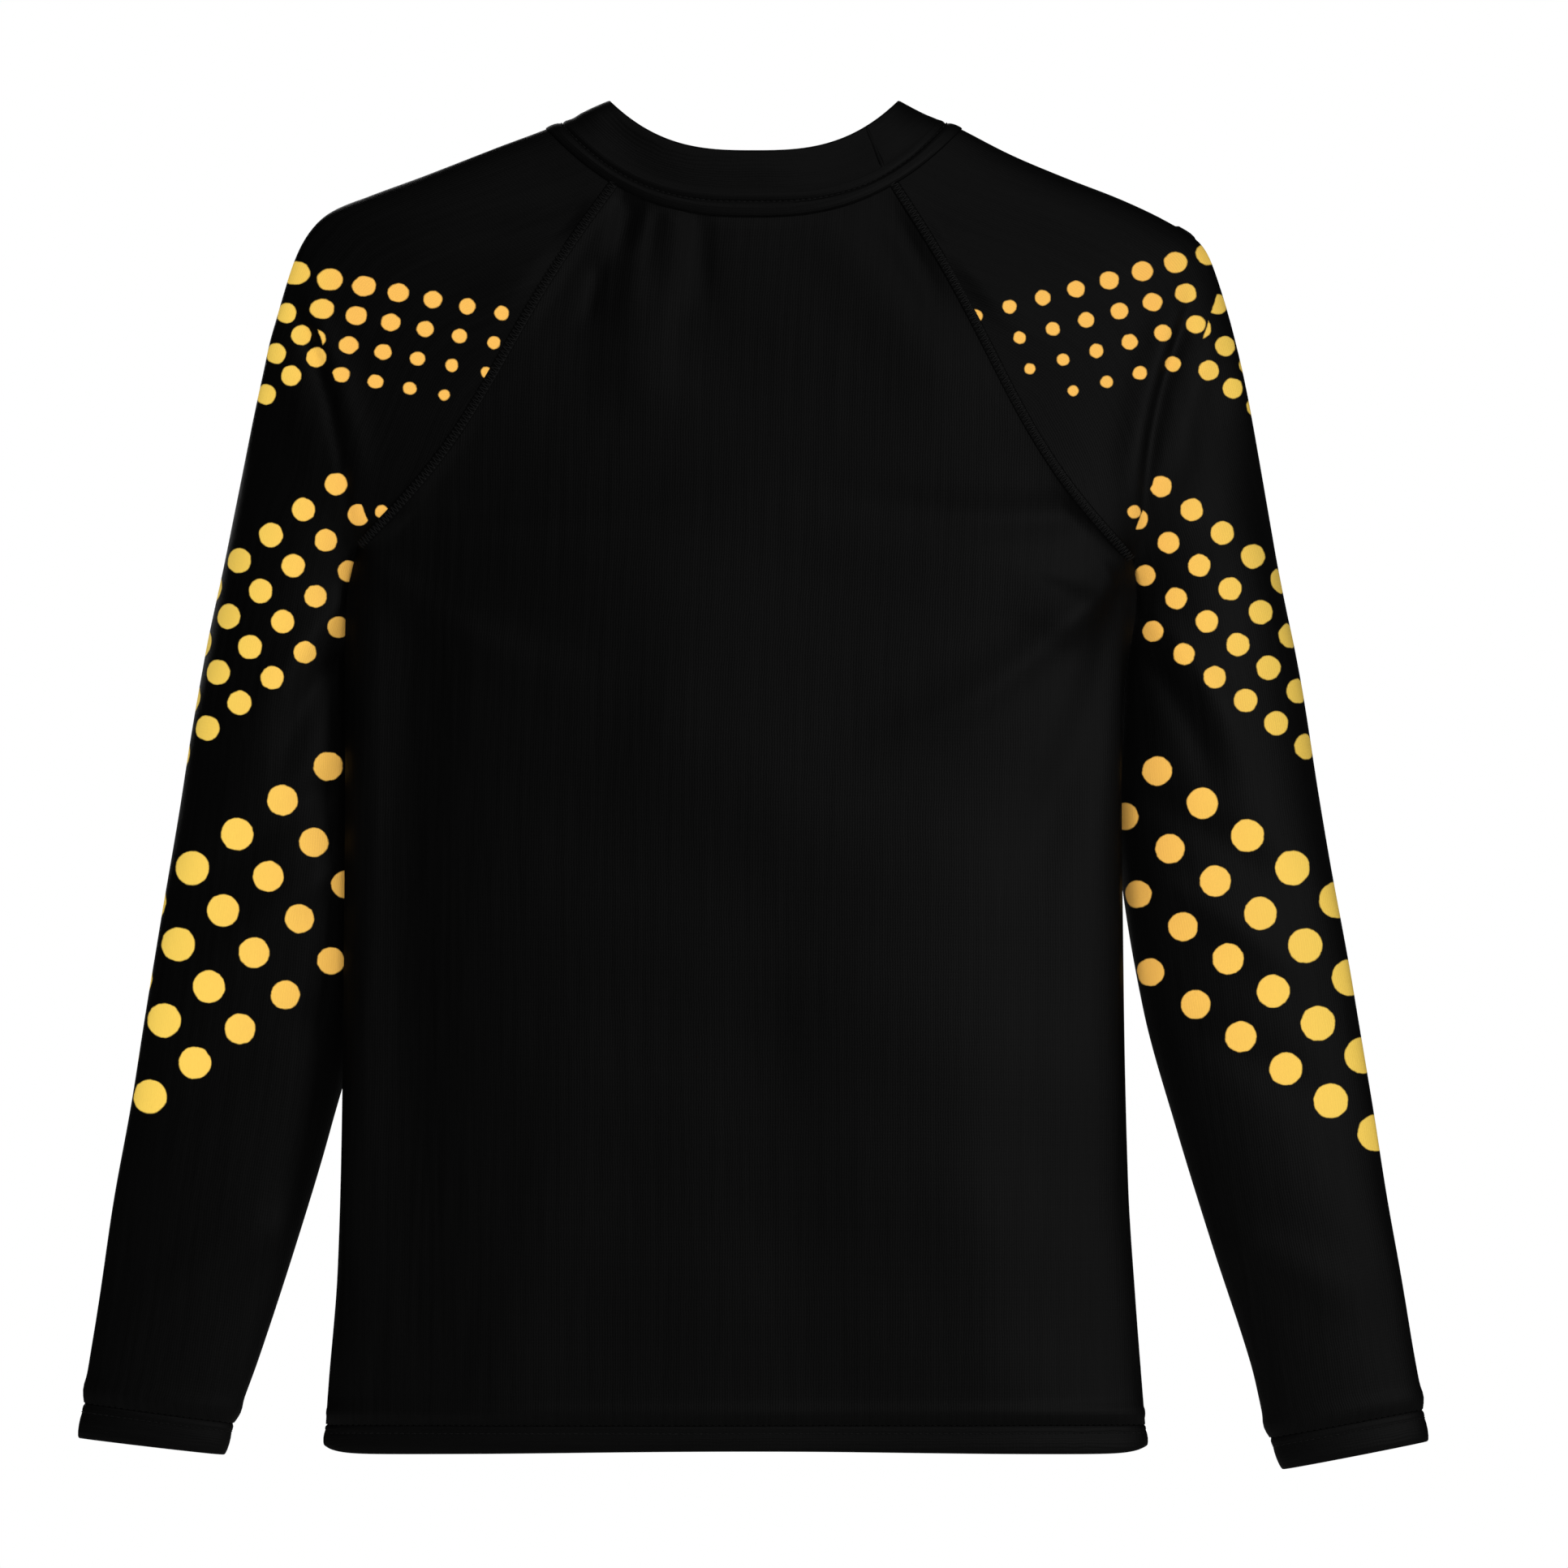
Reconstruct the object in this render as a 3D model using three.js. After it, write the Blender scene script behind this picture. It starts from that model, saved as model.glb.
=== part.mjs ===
// Long-sleeved raglan cheer top in stretch knit, hanging from its shoulders.
// Millimetres, +Z up. The origin is the middle of the neck opening, level with the points where the
// shoulder line meets the neck seam. The wearer's back faces -Y, the front +Y and the left side -X.
import * as THREE from "three";

// ---- Fabric and seams ----
const FABRIC = 1.0; // one ply of knit
const FOLDED = 2.2; // a turned-up hem, or the doubled collar
const GAP = 0.5; // left between pieces that are sewn edge to edge
const STITCH_WIDTH = 5.2; // a flat-locked seam, across its stitches
const STITCH_HEIGHT = 0.7;
const SEAM_ALLOWANCE = 6; // an overlocked edge, inside the garment
const SEAM_THICK = 1.2;

// ---- Body ----
const BODY_LENGTH = 679; // neck point of the shoulder down to the hem's edge
const BODY_DEPTH = 80; // back to front at the chest
const HEM_HEIGHT = 16;
// The shoulder line from the neck point to where the sleeve turns: distances outward and heights.
const SHOULDER_LINE = {
  left: [[136, -12], [170, -25], [196, -34.5], [217.5, -43.5], [229, -55], [237, -72], [247.5, -110]],
  right: [[133, -14], [160, -25.5], [189, -37], [213, -48.5], [229, -59], [237, -75], [247, -111]],
};
const TURN_DROP = 150; // neck point down to where the sleeve turns, on its outer edge
const TURN_OUT = { left: 54, right: 61 }; // the same place, outward of the armpit
const ARMPIT_OUT = { left: 203, right: 194.5 }; // from the neck's centre line
const ARMPIT_DROP = { left: 215, right: 222 };
const CENTRE_DRIFT = -10; // the body hangs a little to the left of the neck
// How far the side seam lies outward of the armpit, by the share of the way down to the hem.
const SIDE_OUT = {
  left: [[0, 0], [0.06, 5.5], [0.25, 6], [0.6, 7.5], [0.8, 10], [0.92, 14.5], [1, 17]],
  right: [[0, 0], [0.05, 1], [0.15, -5.5], [0.45, -5.5], [0.7, -3], [0.82, 0.5], [0.92, 4], [1, 7]],
};
// Share of the body's full depth, by the distance below the neck point.
const DEPTH_SHARE = [[-12, 0.3], [0, 0.38], [26, 0.5], [50, 0.66], [100, 0.86], [200, 1], [450, 0.95], [700, 0.7]];
const ROUNDNESS = 2.2; // 2 is an ellipse in plan, and more is squarer
const PILLOW_BULGE = 16; // how far the sleeve swells past the line from its turn to the armpit

// ---- Neck ----
const NECK_HALF = 105; // half the neck seam, from neck point to neck point
const NECK_DROP = { back: 44.7, front: 88 };
const NECK_POWER = { back: 2.5, front: 2.6 }; // how square the neckline is
const RAGLAN_AT_NECK = { back: 71, front: 62 }; // where the raglan seam meets the neck seam
const RAGLAN_BOW = { back: 8, front: 12 }; // the seam curves below the straight line by this much
const BINDING_WIDTH = 8;
const BINDING_THICK = 2.6;
const COLLAR_HEIGHT = 25;
const COLLAR_TOP_HALF = 73.5;
const COLLAR_LEAN = 0.8; // the collar's top is this share as deep as its seam
const COLLAR_JOIN = { seam: 67, top: 57, width: 2.4 }; // right of the middle, at the seam and the top

// ---- Sleeves ----
const UNDERARM = { left: 464.5, right: 465 }; // armpit down to the cuff's edge
const CUFF_HEIGHT = 15;
const ELBOW_AT = 0.37; // share of the way down the underarm
const ELBOW_BEND = 90; // degrees
const ELBOW_GAP = 1.6;
// Cross-sections, by share of the way down the underarm: the inner edge's place outward of the
// armpit, the width out to the outer edge, how much higher the outer edge is, half the depth, and
// how far forward of the body's middle the section hangs. A slanted section leans over from that
// towards the line that the sleeve bends along, from the armpit up to its turn.
const SLEEVE = {
  left: [
    { down: 0, out: 0, width: TURN_OUT.left, rise: 17, slant: 1, depth: 22, forward: 0 },
    { down: 0.02, out: -0.5, width: 58.5, rise: 17, slant: 0.8, depth: 28, forward: 18 },
    { down: 0.05, out: -1, width: 64, rise: 17, slant: 0.6, depth: 33, forward: 30 },
    { down: 0.09, out: -1, width: 70, rise: 17, slant: 0.33, depth: 35, forward: 35 },
    { down: 0.146, out: -2, width: 80, rise: 17, depth: 36, forward: 34 },
    { down: 0.325, out: -3, width: 94.5, rise: 17.5, depth: 30, forward: 31 },
    { down: 0.508, out: -1, width: 106.6, rise: 19.6, depth: 23, forward: 30 },
    { down: 0.64, out: 14, width: 101.3, rise: 18.6, depth: 20, forward: 30.5 },
    { down: 0.766, out: 31.5, width: 94.4, rise: 17.4, depth: 17.5, forward: 31 },
    { down: 0.891, out: 50.5, width: 84.6, rise: 15.5, depth: 15, forward: 31.5 },
    { down: 0.962, out: 62.5, width: 78.5, rise: 11, depth: 13.5, forward: 32 },
    { down: 1, out: 68, width: 76, rise: 9, depth: 13, forward: 32 },
  ],
  right: [
    { down: 0, out: 0, width: TURN_OUT.right, rise: 17, slant: 1, depth: 22, forward: 0 },
    { down: 0.02, out: 0, width: 65, rise: 17, slant: 0.8, depth: 28, forward: 18 },
    { down: 0.05, out: -2, width: 71.5, rise: 17, slant: 0.6, depth: 33, forward: 30 },
    { down: 0.08, out: -5, width: 79, rise: 17, slant: 0.38, depth: 35, forward: 35 },
    { down: 0.131, out: -9.5, width: 92.5, rise: 17, depth: 36, forward: 34 },
    { down: 0.312, out: -8, width: 104.5, rise: 18, depth: 30, forward: 31 },
    { down: 0.492, out: 5, width: 106, rise: 19, depth: 23, forward: 30 },
    { down: 0.624, out: 22, width: 99.7, rise: 18.5, depth: 20, forward: 30.5 },
    { down: 0.753, out: 40.5, width: 91.3, rise: 17, depth: 17.5, forward: 31 },
    { down: 0.882, out: 60, width: 82, rise: 16, depth: 15, forward: 31.5 },
    { down: 0.963, out: 69, width: 80, rise: 15, depth: 13.5, forward: 32 },
    { down: 1, out: 76, width: 75.7, rise: 14.8, depth: 13, forward: 32 },
  ],
};

// ---- Label ----
const CARE_LABEL = { width: 26, height: 46, thick: 0.6, above_hem: 70 };

// ---- Facets ----
const BODY_STEPS = 9; // hem to armpit
const RAGLAN_STEPS = 7; // armpit to neck
const ACROSS = 16;
const CAP_ACROSS = 7; // raglan seam to shoulder line
const SLEEVE_STEPS = 9;
const SLEEVE_AROUND = 24;
const NECK_AROUND = 40;

const LEFT_RIGHT = ["left", "right"];
const sign = { left: -1, right: 1 };
const BACK_FRONT = ["back", "front"];
const outward = { back: -1, front: 1 };

// ---- Curves ----
// A smooth curve through [x, y] points in rising x, flat beyond them: cubic between neighbours.
function through(points) {
  const slope = points.map((p, i) => {
    const a = points[Math.max(i - 1, 0)];
    const b = points[Math.min(i + 1, points.length - 1)];
    return (b[1] - a[1]) / (b[0] - a[0]);
  });
  return (x) => {
    const last = points.length - 1;
    const at = Math.min(Math.max(x, points[0][0]), points[last][0]);
    const i = Math.min(Math.max(points.findIndex((p) => p[0] > at) - 1, 0), last - 1);
    const k = at >= points[last][0] ? last - 1 : i;
    const [x0, y0] = points[k];
    const [x1, y1] = points[k + 1];
    const t = (at - x0) / (x1 - x0);
    const h = x1 - x0;
    const t2 = t * t;
    const t3 = t2 * t;
    return (
      y0 * (2 * t3 - 3 * t2 + 1) + y1 * (3 * t2 - 2 * t3) +
      slope[k] * h * (t3 - 2 * t2 + t) + slope[k + 1] * h * (t3 - t2)
    );
  };
}

const mix = (a, b, t) => a + (b - a) * t;
const smooth = (t) => {
  const c = Math.min(Math.max(t, 0), 1);
  return c * c * (3 - 2 * c);
};
const depthShare = through(DEPTH_SHARE);
const sideOut = { left: through(SIDE_OUT.left), right: through(SIDE_OUT.right) };

// Where the side seam is at height z: its distance from the neck's centre line.
function sideSeam(side, z) {
  const share = (-z - ARMPIT_DROP[side]) / (BODY_LENGTH - ARMPIT_DROP[side]);
  return ARMPIT_OUT[side] + sideOut[side](Math.max(share, 0));
}

const turn = {};
const shoulder = {};
for (const side of LEFT_RIGHT) {
  turn[side] = [ARMPIT_OUT[side] + TURN_OUT[side], -TURN_DROP];
  const places = [[NECK_HALF, 0], ...SHOULDER_LINE[side], turn[side]];
  const points = places.map(([x, z]) => new THREE.Vector3(x, 0, z));
  shoulder[side] = new THREE.CatmullRomCurve3(points, false, "centripetal");
}

// The edge of the flattened shape at height z, as a distance from the neck's centre line: the
// shoulder line, then a swell over the top of the sleeve that runs in to the armpit, then the side
// seam.
const shoulderByHeight = {};
for (const side of LEFT_RIGHT) {
  const points = shoulder[side].getPoints(24).map((p) => [-p.z, p.x]);
  shoulderByHeight[side] = through(points);
}
function edge(side, z) {
  if (-z < TURN_DROP) return shoulderByHeight[side](-z);
  if (-z >= ARMPIT_DROP[side]) return sideSeam(side, z);
  const share = (-z - TURN_DROP) / (ARMPIT_DROP[side] - TURN_DROP);
  const straight = mix(turn[side][0], ARMPIT_OUT[side], share);
  return straight + PILLOW_BULGE * Math.sin(Math.PI * share ** 1.1) ** 1.2;
}

// The line down the body that the depth is measured from.
const centre = (z) => CENTRE_DRIFT * smooth((-z - 60) / 300);

// Half the garment's depth at (x, z), zero along its edge.
function halfDepth(x, z) {
  const side = x < centre(z) ? "left" : "right";
  const reach = Math.abs(sign[side] * edge(side, z) - centre(z));
  const u = Math.min(Math.abs(x - centre(z)) / reach, 1);
  return (BODY_DEPTH / 2) * depthShare(-z) * Math.sqrt(1 - u ** ROUNDNESS);
}
const onBody = (x, z, face) => new THREE.Vector3(x, outward[face] * halfDepth(x, z), z);

// ---- Seam lines, as distances outward and heights ----
const neckLine = (x, face) => -NECK_DROP[face] * (1 - Math.abs(x / NECK_HALF) ** NECK_POWER[face]);

// A point on the raglan seam, from the neck at t = 0 to the armpit at t = 1.
function raglan(side, face, t) {
  const x0 = RAGLAN_AT_NECK[face];
  const z0 = neckLine(x0, face);
  const bow = RAGLAN_BOW[face] * Math.sin(Math.PI * t);
  return [mix(x0, ARMPIT_OUT[side], t) - bow * 0.7, mix(z0, -ARMPIT_DROP[side], t) - bow * 0.7];
}

// A point on the line that the sleeve bends along, from its outer edge (t = 0) to the armpit (t = 1).
function bendLine(side, t) {
  const [x, z] = turn[side];
  return [mix(x, ARMPIT_OUT[side], t), mix(z, -ARMPIT_DROP[side], t)];
}

// ---- Solids ----
const materials = {
  knit: new THREE.MeshStandardMaterial({ color: 0x0b0b0c, roughness: 0.62, metalness: 0 }),
  sleeve: new THREE.MeshStandardMaterial({ color: 0x101010, roughness: 0.62, metalness: 0 }),
  thread: new THREE.MeshStandardMaterial({ color: 0x171717, roughness: 0.5, metalness: 0 }),
  label: new THREE.MeshStandardMaterial({ color: 0xe9e7e1, roughness: 0.7, metalness: 0 }),
};

// A closed skin from a grid of points on its outer face: rows of points, each row from one side to
// the other, or round a ring when `ring` is true. `lift` raises it off the grid, `away` gives a
// point on its inner side. `side` keeps it all on the back or the front of the garment's middle, and
// `level` keeps its inner face at the heights of the outer one, so that its lower edge is flat.
function skin(rows, thick, { ring = false, lift = 0, away, side, level }) {
  const n = rows.length;
  const m = rows[0].length;
  const at = (i, j) => rows[i][ring ? (j + m) % m : Math.min(Math.max(j, 0), m - 1)];
  const normals = rows.map((row, i) =>
    row.map((p, j) => {
      const down = at(Math.min(i + 1, n - 1), j).clone().sub(at(Math.max(i - 1, 0), j));
      const along = at(i, j + 1).clone().sub(at(i, j - 1));
      return down.cross(along).normalize();
    }),
  );
  const [ci, cj] = [n >> 1, m >> 1];
  const out = rows[ci][cj].clone().sub(away(rows[ci][cj]));
  if (normals[ci][cj].dot(out) < 0) normals.forEach((row) => row.forEach((v) => v.negate()));

  const position = [];
  for (const depth of [lift, lift - thick]) {
    rows.forEach((row, i) =>
      row.forEach((p, j) => {
        const q = p.clone().addScaledVector(normals[i][j], depth);
        if (side) q.y = outward[side] * Math.max(outward[side] * q.y, GAP / 2);
        if (level) q.z = p.z;
        position.push(q.x, q.y, q.z);
      }),
    );
  }
  const index = [];
  const id = (layer, i, j) => layer * n * m + i * m + (ring ? (j + m) % m : j);
  const quad = (a, b, c, d) => index.push(a, b, c, a, c, d);
  const columns = ring ? m : m - 1;
  for (let i = 0; i < n - 1; i++) {
    for (let j = 0; j < columns; j++) {
      quad(id(0, i, j), id(0, i, j + 1), id(0, i + 1, j + 1), id(0, i + 1, j));
      quad(id(1, i, j), id(1, i + 1, j), id(1, i + 1, j + 1), id(1, i, j + 1));
    }
  }
  for (let j = 0; j < columns; j++) {
    quad(id(0, 0, j), id(1, 0, j), id(1, 0, j + 1), id(0, 0, j + 1));
    quad(id(0, n - 1, j), id(0, n - 1, j + 1), id(1, n - 1, j + 1), id(1, n - 1, j));
  }
  if (!ring) {
    for (let i = 0; i < n - 1; i++) {
      quad(id(0, i, 0), id(0, i + 1, 0), id(1, i + 1, 0), id(1, i, 0));
      quad(id(0, i, m - 1), id(1, i, m - 1), id(1, i + 1, m - 1), id(0, i + 1, m - 1));
    }
  }
  if (volume(position, index) < 0) {
    for (let k = 0; k < index.length; k += 3) [index[k + 1], index[k + 2]] = [index[k + 2], index[k + 1]];
  }
  const geometry = new THREE.BufferGeometry();
  geometry.setAttribute("position", new THREE.Float32BufferAttribute(position, 3));
  geometry.setIndex(index);
  geometry.computeVertexNormals();
  return geometry;
}

// Signed volume of a triangle mesh: positive when its faces point out.
function volume(position, index) {
  const p = (k) => new THREE.Vector3().fromArray(position, 3 * k);
  let sum = 0;
  for (let k = 0; k < index.length; k += 3) {
    sum += p(index[k]).dot(p(index[k + 1]).cross(p(index[k + 2])));
  }
  return sum / 6;
}

const top = new THREE.Group();
function add(name, geometry, material) {
  const mesh = new THREE.Mesh(geometry, materials[material]);
  mesh.name = name;
  top.add(mesh);
}
const steps = (n) => Array.from({ length: n + 1 }, (_, i) => i / n);
const middle = (p) => new THREE.Vector3(centre(p.z), 0, p.z);

// ---- Back and front panels ----
// One row of a panel across the body between two heights and reaches, at even angles round the section.
function bodyRow(face, left, right, dip) {
  const z = (x) => mix(left[1], right[1], (x + left[0]) / (left[0] + right[0]));
  const angle = (side, [x, height]) => {
    const reach = Math.abs(sign[side] * edge(side, height) - centre(height));
    const u = Math.min(Math.abs(sign[side] * x - centre(height)) / reach, 1);
    return Math.asin(u);
  };
  const reachOf = (side, [, height]) => Math.abs(sign[side] * edge(side, height) - centre(height));
  const from = -angle("left", left);
  const to = angle("right", right);
  return steps(ACROSS).map((t) => {
    const a = mix(from, to, t);
    const side = a < 0 ? "left" : "right";
    const x = centre(mix(left[1], right[1], t)) + Math.sin(a) * reachOf(side, side === "left" ? left : right);
    const span = Math.abs((2 * (x + left[0])) / (left[0] + right[0]) - 1);
    const height = z(x) - dip * (1 - Math.min(span, 1) ** NECK_POWER[face]);
    return onBody(x, height, face);
  });
}

const HEM_TOP = -(BODY_LENGTH - HEM_HEIGHT);
for (const face of BACK_FRONT) {
  const rows = [];
  for (const t of steps(BODY_STEPS)) {
    const ends = LEFT_RIGHT.map((side) => {
      const z = mix(HEM_TOP + GAP, -ARMPIT_DROP[side], t);
      return [sideSeam(side, z) - 0.02, z];
    });
    rows.push(bodyRow(face, ends[0], ends[1], 0));
  }
  const edgeOfNeck = neckLine(RAGLAN_AT_NECK[face], face);
  for (const t of steps(RAGLAN_STEPS).slice(1)) {
    const ends = LEFT_RIGHT.map((side) => {
      const [x, z] = raglan(side, face, 1 - t);
      return [x - GAP, z];
    });
    rows.push(bodyRow(face, ends[0], ends[1], t ** 2 * (NECK_DROP[face] + edgeOfNeck)));
  }
  add(`${face}_panel`, skin(rows, FABRIC, { away: middle, side: face }), "knit");
}

// ---- Sleeve tops: neck to bend line, over the shoulder from the back raglan seam to the front one ----
function capPoint(side, face, along, across) {
  const [rx, rz] = raglan(side, face, along);
  const s = shoulder[side].getPointAt(along);
  const t = Math.sin((across * Math.PI) / 2);
  // near the neck the row sags to the neckline's own curve
  const sag = neckLine(mix(RAGLAN_AT_NECK[face], NECK_HALF, t), face) -
    mix(neckLine(RAGLAN_AT_NECK[face], face), 0, t);
  const z = mix(rz, s.z, t) + sag * (1 - along) ** 2;
  return onBody(sign[side] * mix(rx + GAP, s.x, t), z, face);
}
for (const side of LEFT_RIGHT) {
  const rows = steps(RAGLAN_STEPS).map((along) => {
    const back = steps(CAP_ACROSS).map((t) => capPoint(side, "back", along, t));
    const front = steps(CAP_ACROSS).map((t) => capPoint(side, "front", along, t)).reverse();
    back[CAP_ACROSS].y = 0;
    return [...back, ...front.slice(1)];
  });
  rows.forEach((row) => {
    row[0].y = Math.min(row[0].y, -GAP / 2);
    row[row.length - 1].y = Math.max(row[row.length - 1].y, GAP / 2);
  });
  const inside = (p) => new THREE.Vector3(p.x - sign[side] * 60, 0, p.z - 40);
  add(`${side}_sleeve_cap`, skin(rows, FABRIC, { away: inside }), "sleeve");
}

// ---- Sleeves ----
const sections = {};
for (const side of LEFT_RIGHT) {
  const curve = {};
  const bendRise = ARMPIT_DROP[side] - TURN_DROP;
  const rows = SLEEVE[side].map((s) => ({ ...s, rise: mix(s.rise, bendRise, s.slant ?? 0) }));
  for (const key of ["out", "width", "rise", "depth", "forward"]) {
    curve[key] = through(rows.map((s) => [s.down, s[key]]));
  }
  sections[side] = curve;
}

// A point of the sleeve: `down` is the share of the way down the underarm, and the angle runs from
// the inner edge (0) over the back (90) to the outer edge (180) and round the front.
function sleevePoint(side, down, angle) {
  const s = sections[side];
  const inner = [ARMPIT_OUT[side] + s.out(down), -ARMPIT_DROP[side] - down * UNDERARM[side]];
  const outer = [inner[0] + s.width(down), inner[1] + s.rise(down)];
  const across = (1 - Math.cos(angle)) / 2;
  const x = sign[side] * mix(inner[0], outer[0], across);
  const z = mix(inner[1], outer[1], across);
  const round = s.depth(down) * Math.sin(angle);
  const [cx, cz] = bendLine(side, 1 - across);
  const atBend = halfDepth(sign[side] * cx, cz) * Math.sign(Math.sin(angle));
  const y = s.forward(down) - mix(atBend, round, smooth(down / 0.03));
  return new THREE.Vector3(x, y, z);
}

// Where the sleeve's middle is at a share of the way down.
function sleeveMiddle(side, down) {
  return sleevePoint(side, down, 0).add(sleevePoint(side, down, Math.PI)).multiplyScalar(0.5);
}

const elbow = {};
for (const side of LEFT_RIGHT) {
  const a = sleeveMiddle(side, ELBOW_AT - 0.01);
  const b = sleeveMiddle(side, ELBOW_AT + 0.01);
  elbow[side] = { at: sleeveMiddle(side, ELBOW_AT), perShare: a.distanceTo(b) / 0.02 };
}

// The share of the way down at which a piece ends by the elbow. The front half is cut back at half
// the bend, so that the two pieces meet face to face when the elbow is bent.
function elbowCut(side, angle, towards) {
  const forward = Math.max(0, -Math.sin(angle)) * sections[side].depth(ELBOW_AT);
  const back = ELBOW_GAP / 2 + forward * Math.tan(THREE.MathUtils.degToRad(ELBOW_BEND / 2));
  return ELBOW_AT + (towards * back) / elbow[side].perShare;
}

const turns = (n) => Array.from({ length: n }, (_, j) => (2 * Math.PI * j) / n);
// Share of the underarm left between the sleeve top and the sleeve, at the armpit and at the turn.
const PAST_BEND = { armpit: 0.006, turn: 0.0022 };
const pastBend = (a) => mix(PAST_BEND.armpit, PAST_BEND.turn, Math.abs(Math.sin(a / 2)));

function sleeveRows(side, from, to, count, grow = 0) {
  return steps(count).map((t) =>
    turns(SLEEVE_AROUND).map((angle) => {
      const down = mix(from(angle), to(angle), t);
      const p = sleevePoint(side, down, angle);
      if (!grow) return p;
      const c = sleeveMiddle(side, down);
      return p.add(p.clone().sub(c).normalize().multiplyScalar(grow));
    }),
  );
}

for (const side of LEFT_RIGHT) {
  const inSleeve = (p) => {
    const down = (-p.z - ARMPIT_DROP[side]) / UNDERARM[side];
    return sleeveMiddle(side, Math.min(Math.max(down, 0.02), 1));
  };
  const cuffTop = 1 - CUFF_HEIGHT / UNDERARM[side];
  const cuffGap = GAP / UNDERARM[side];
  const upper = sleeveRows(side, pastBend, (a) => elbowCut(side, a, -1), SLEEVE_STEPS);
  const lower = sleeveRows(side, (a) => elbowCut(side, a, 1), () => cuffTop - cuffGap, SLEEVE_STEPS);
  const cuff = sleeveRows(side, () => cuffTop, () => 1, 1, (FOLDED - FABRIC) / 2);
  add(`${side}_sleeve_upper`, skin(upper, FABRIC, { ring: true, away: inSleeve }), "sleeve");
  add(`${side}_sleeve_lower`, skin(lower, FABRIC, { ring: true, away: inSleeve }), "sleeve");
  add(`${side}_cuff_hem`, skin(cuff, FOLDED, { ring: true, away: inSleeve }), "sleeve");
  const stitch = sleeveRows(side, () => cuffTop + 4 * cuffGap, () => cuffTop + 12 * cuffGap, 1, (FOLDED - FABRIC) / 2);
  add(`${side}_cuff_stitch`, skin(stitch, STITCH_HEIGHT, {
    ring: true, lift: GAP + STITCH_HEIGHT, away: inSleeve,
  }), "thread");
}

// ---- Seams inside the side and under the arm: a flat strip along the inner side of an edge ----
function strip(points, inwardOf) {
  const rows = points.map((p, i) => {
    const inward = inwardOf(p, i);
    const start = p.clone().addScaledVector(inward, FABRIC + GAP + 0.4);
    return [start, start.clone().addScaledVector(inward, SEAM_ALLOWANCE)].map((q) => {
      q.y += SEAM_THICK / 2;
      return q;
    });
  });
  return skin(rows, SEAM_THICK, { away: (p) => new THREE.Vector3(p.x, p.y - 10, p.z) });
}
for (const side of LEFT_RIGHT) {
  const inX = new THREE.Vector3(-sign[side], 0, 0);
  // at the heights of the panels' own rows, short of the armpit
  const body = steps(BODY_STEPS).slice(0, -1).map((t) => {
    const z = mix(HEM_TOP + GAP, -ARMPIT_DROP[side], t);
    return new THREE.Vector3(sign[side] * sideSeam(side, z), 0, z);
  });
  add(`${side}_side_seam`, strip(body, () => inX), "thread");
  const outX = new THREE.Vector3(sign[side], 0, 0);
  const under = (from, to) =>
    steps(SLEEVE_STEPS).map((t) => sleevePoint(side, mix(from, to, t), 0));
  const clearOfElbow = 3 / UNDERARM[side];
  const startAt = 0.15;
  const endAt = 1 - (CUFF_HEIGHT + 2 * GAP) / UNDERARM[side];
  const upper = under(startAt, ELBOW_AT - clearOfElbow);
  const lower = under(ELBOW_AT + clearOfElbow, endAt);
  add(`${side}_underarm_seam_upper`, strip(upper, () => outX), "thread");
  add(`${side}_underarm_seam_lower`, strip(lower, () => outX), "thread");
}

// ---- Flat-locked raglan seams, on the outside ----
for (const side of LEFT_RIGHT) {
  for (const face of BACK_FRONT) {
    const rows = steps(RAGLAN_STEPS).map((t) => {
      const along = mix(0.03, 0.84, t);
      const [x, z] = raglan(side, face, along);
      const [x1, z1] = raglan(side, face, along + 0.01);
      const run = Math.hypot(x1 - x, z1 - z);
      const across = [-(z1 - z) / run, (x1 - x) / run];
      return [-0.5, 0, 0.5].map((k) =>
        onBody(sign[side] * (x + k * STITCH_WIDTH * across[0]), z + k * STITCH_WIDTH * across[1], face),
      );
    });
    add(`${side}_${face}_raglan_stitch`, skin(rows, STITCH_HEIGHT, {
      lift: GAP + STITCH_HEIGHT + 0.6, away: middle,
    }), "thread");
  }
}

// ---- Neck binding and collar ----
// Round the neck: angle 0 is the left neck point, 90 the centre back and 270 the centre front.
// `up` is the distance up the collar from the neck seam, as shares of the binding and the collar.
function neckPoint(angle, inBinding, inCollar) {
  const face = Math.sin(angle) >= 0 ? "back" : "front";
  const e = -Math.cos(angle);
  const seamHalf = mix(NECK_HALF, NECK_HALF - BINDING_WIDTH, inBinding);
  const half = mix(seamHalf, COLLAR_TOP_HALF, inCollar);
  const sideRise = 0.3 * BINDING_WIDTH * inBinding + 0.46 * COLLAR_HEIGHT * inCollar;
  const drop = -NECK_DROP[face] + BINDING_WIDTH * inBinding + COLLAR_HEIGHT * inCollar;
  const z = mix(drop, sideRise, Math.abs(e) ** mix(NECK_POWER[face], 2.85, Math.max(inBinding, inCollar)));
  const seamZ = neckLine(e * NECK_HALF, face);
  const depth = halfDepth(e * NECK_HALF, seamZ) * mix(1, COLLAR_LEAN, inCollar);
  return new THREE.Vector3(e * half, outward[face] * depth, z);
}
const neckInside = (p) => new THREE.Vector3(p.x * 0.5, 0, p.z);
function neckRing(from, to, count) {
  return steps(count).map((t) => turns(NECK_AROUND).map((a) => {
    const [b0, c0] = from;
    const [b1, c1] = to;
    return neckPoint(a, mix(b0, b1, t), mix(c0, c1, t));
  }));
}
const seamGap = GAP / BINDING_WIDTH;
const collarGap = GAP / COLLAR_HEIGHT;
add("neck_binding", skin(neckRing([seamGap, 0], [1, 0], 1), BINDING_THICK, {
  ring: true, lift: (BINDING_THICK - FABRIC) / 2, away: neckInside,
}), "knit");
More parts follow.
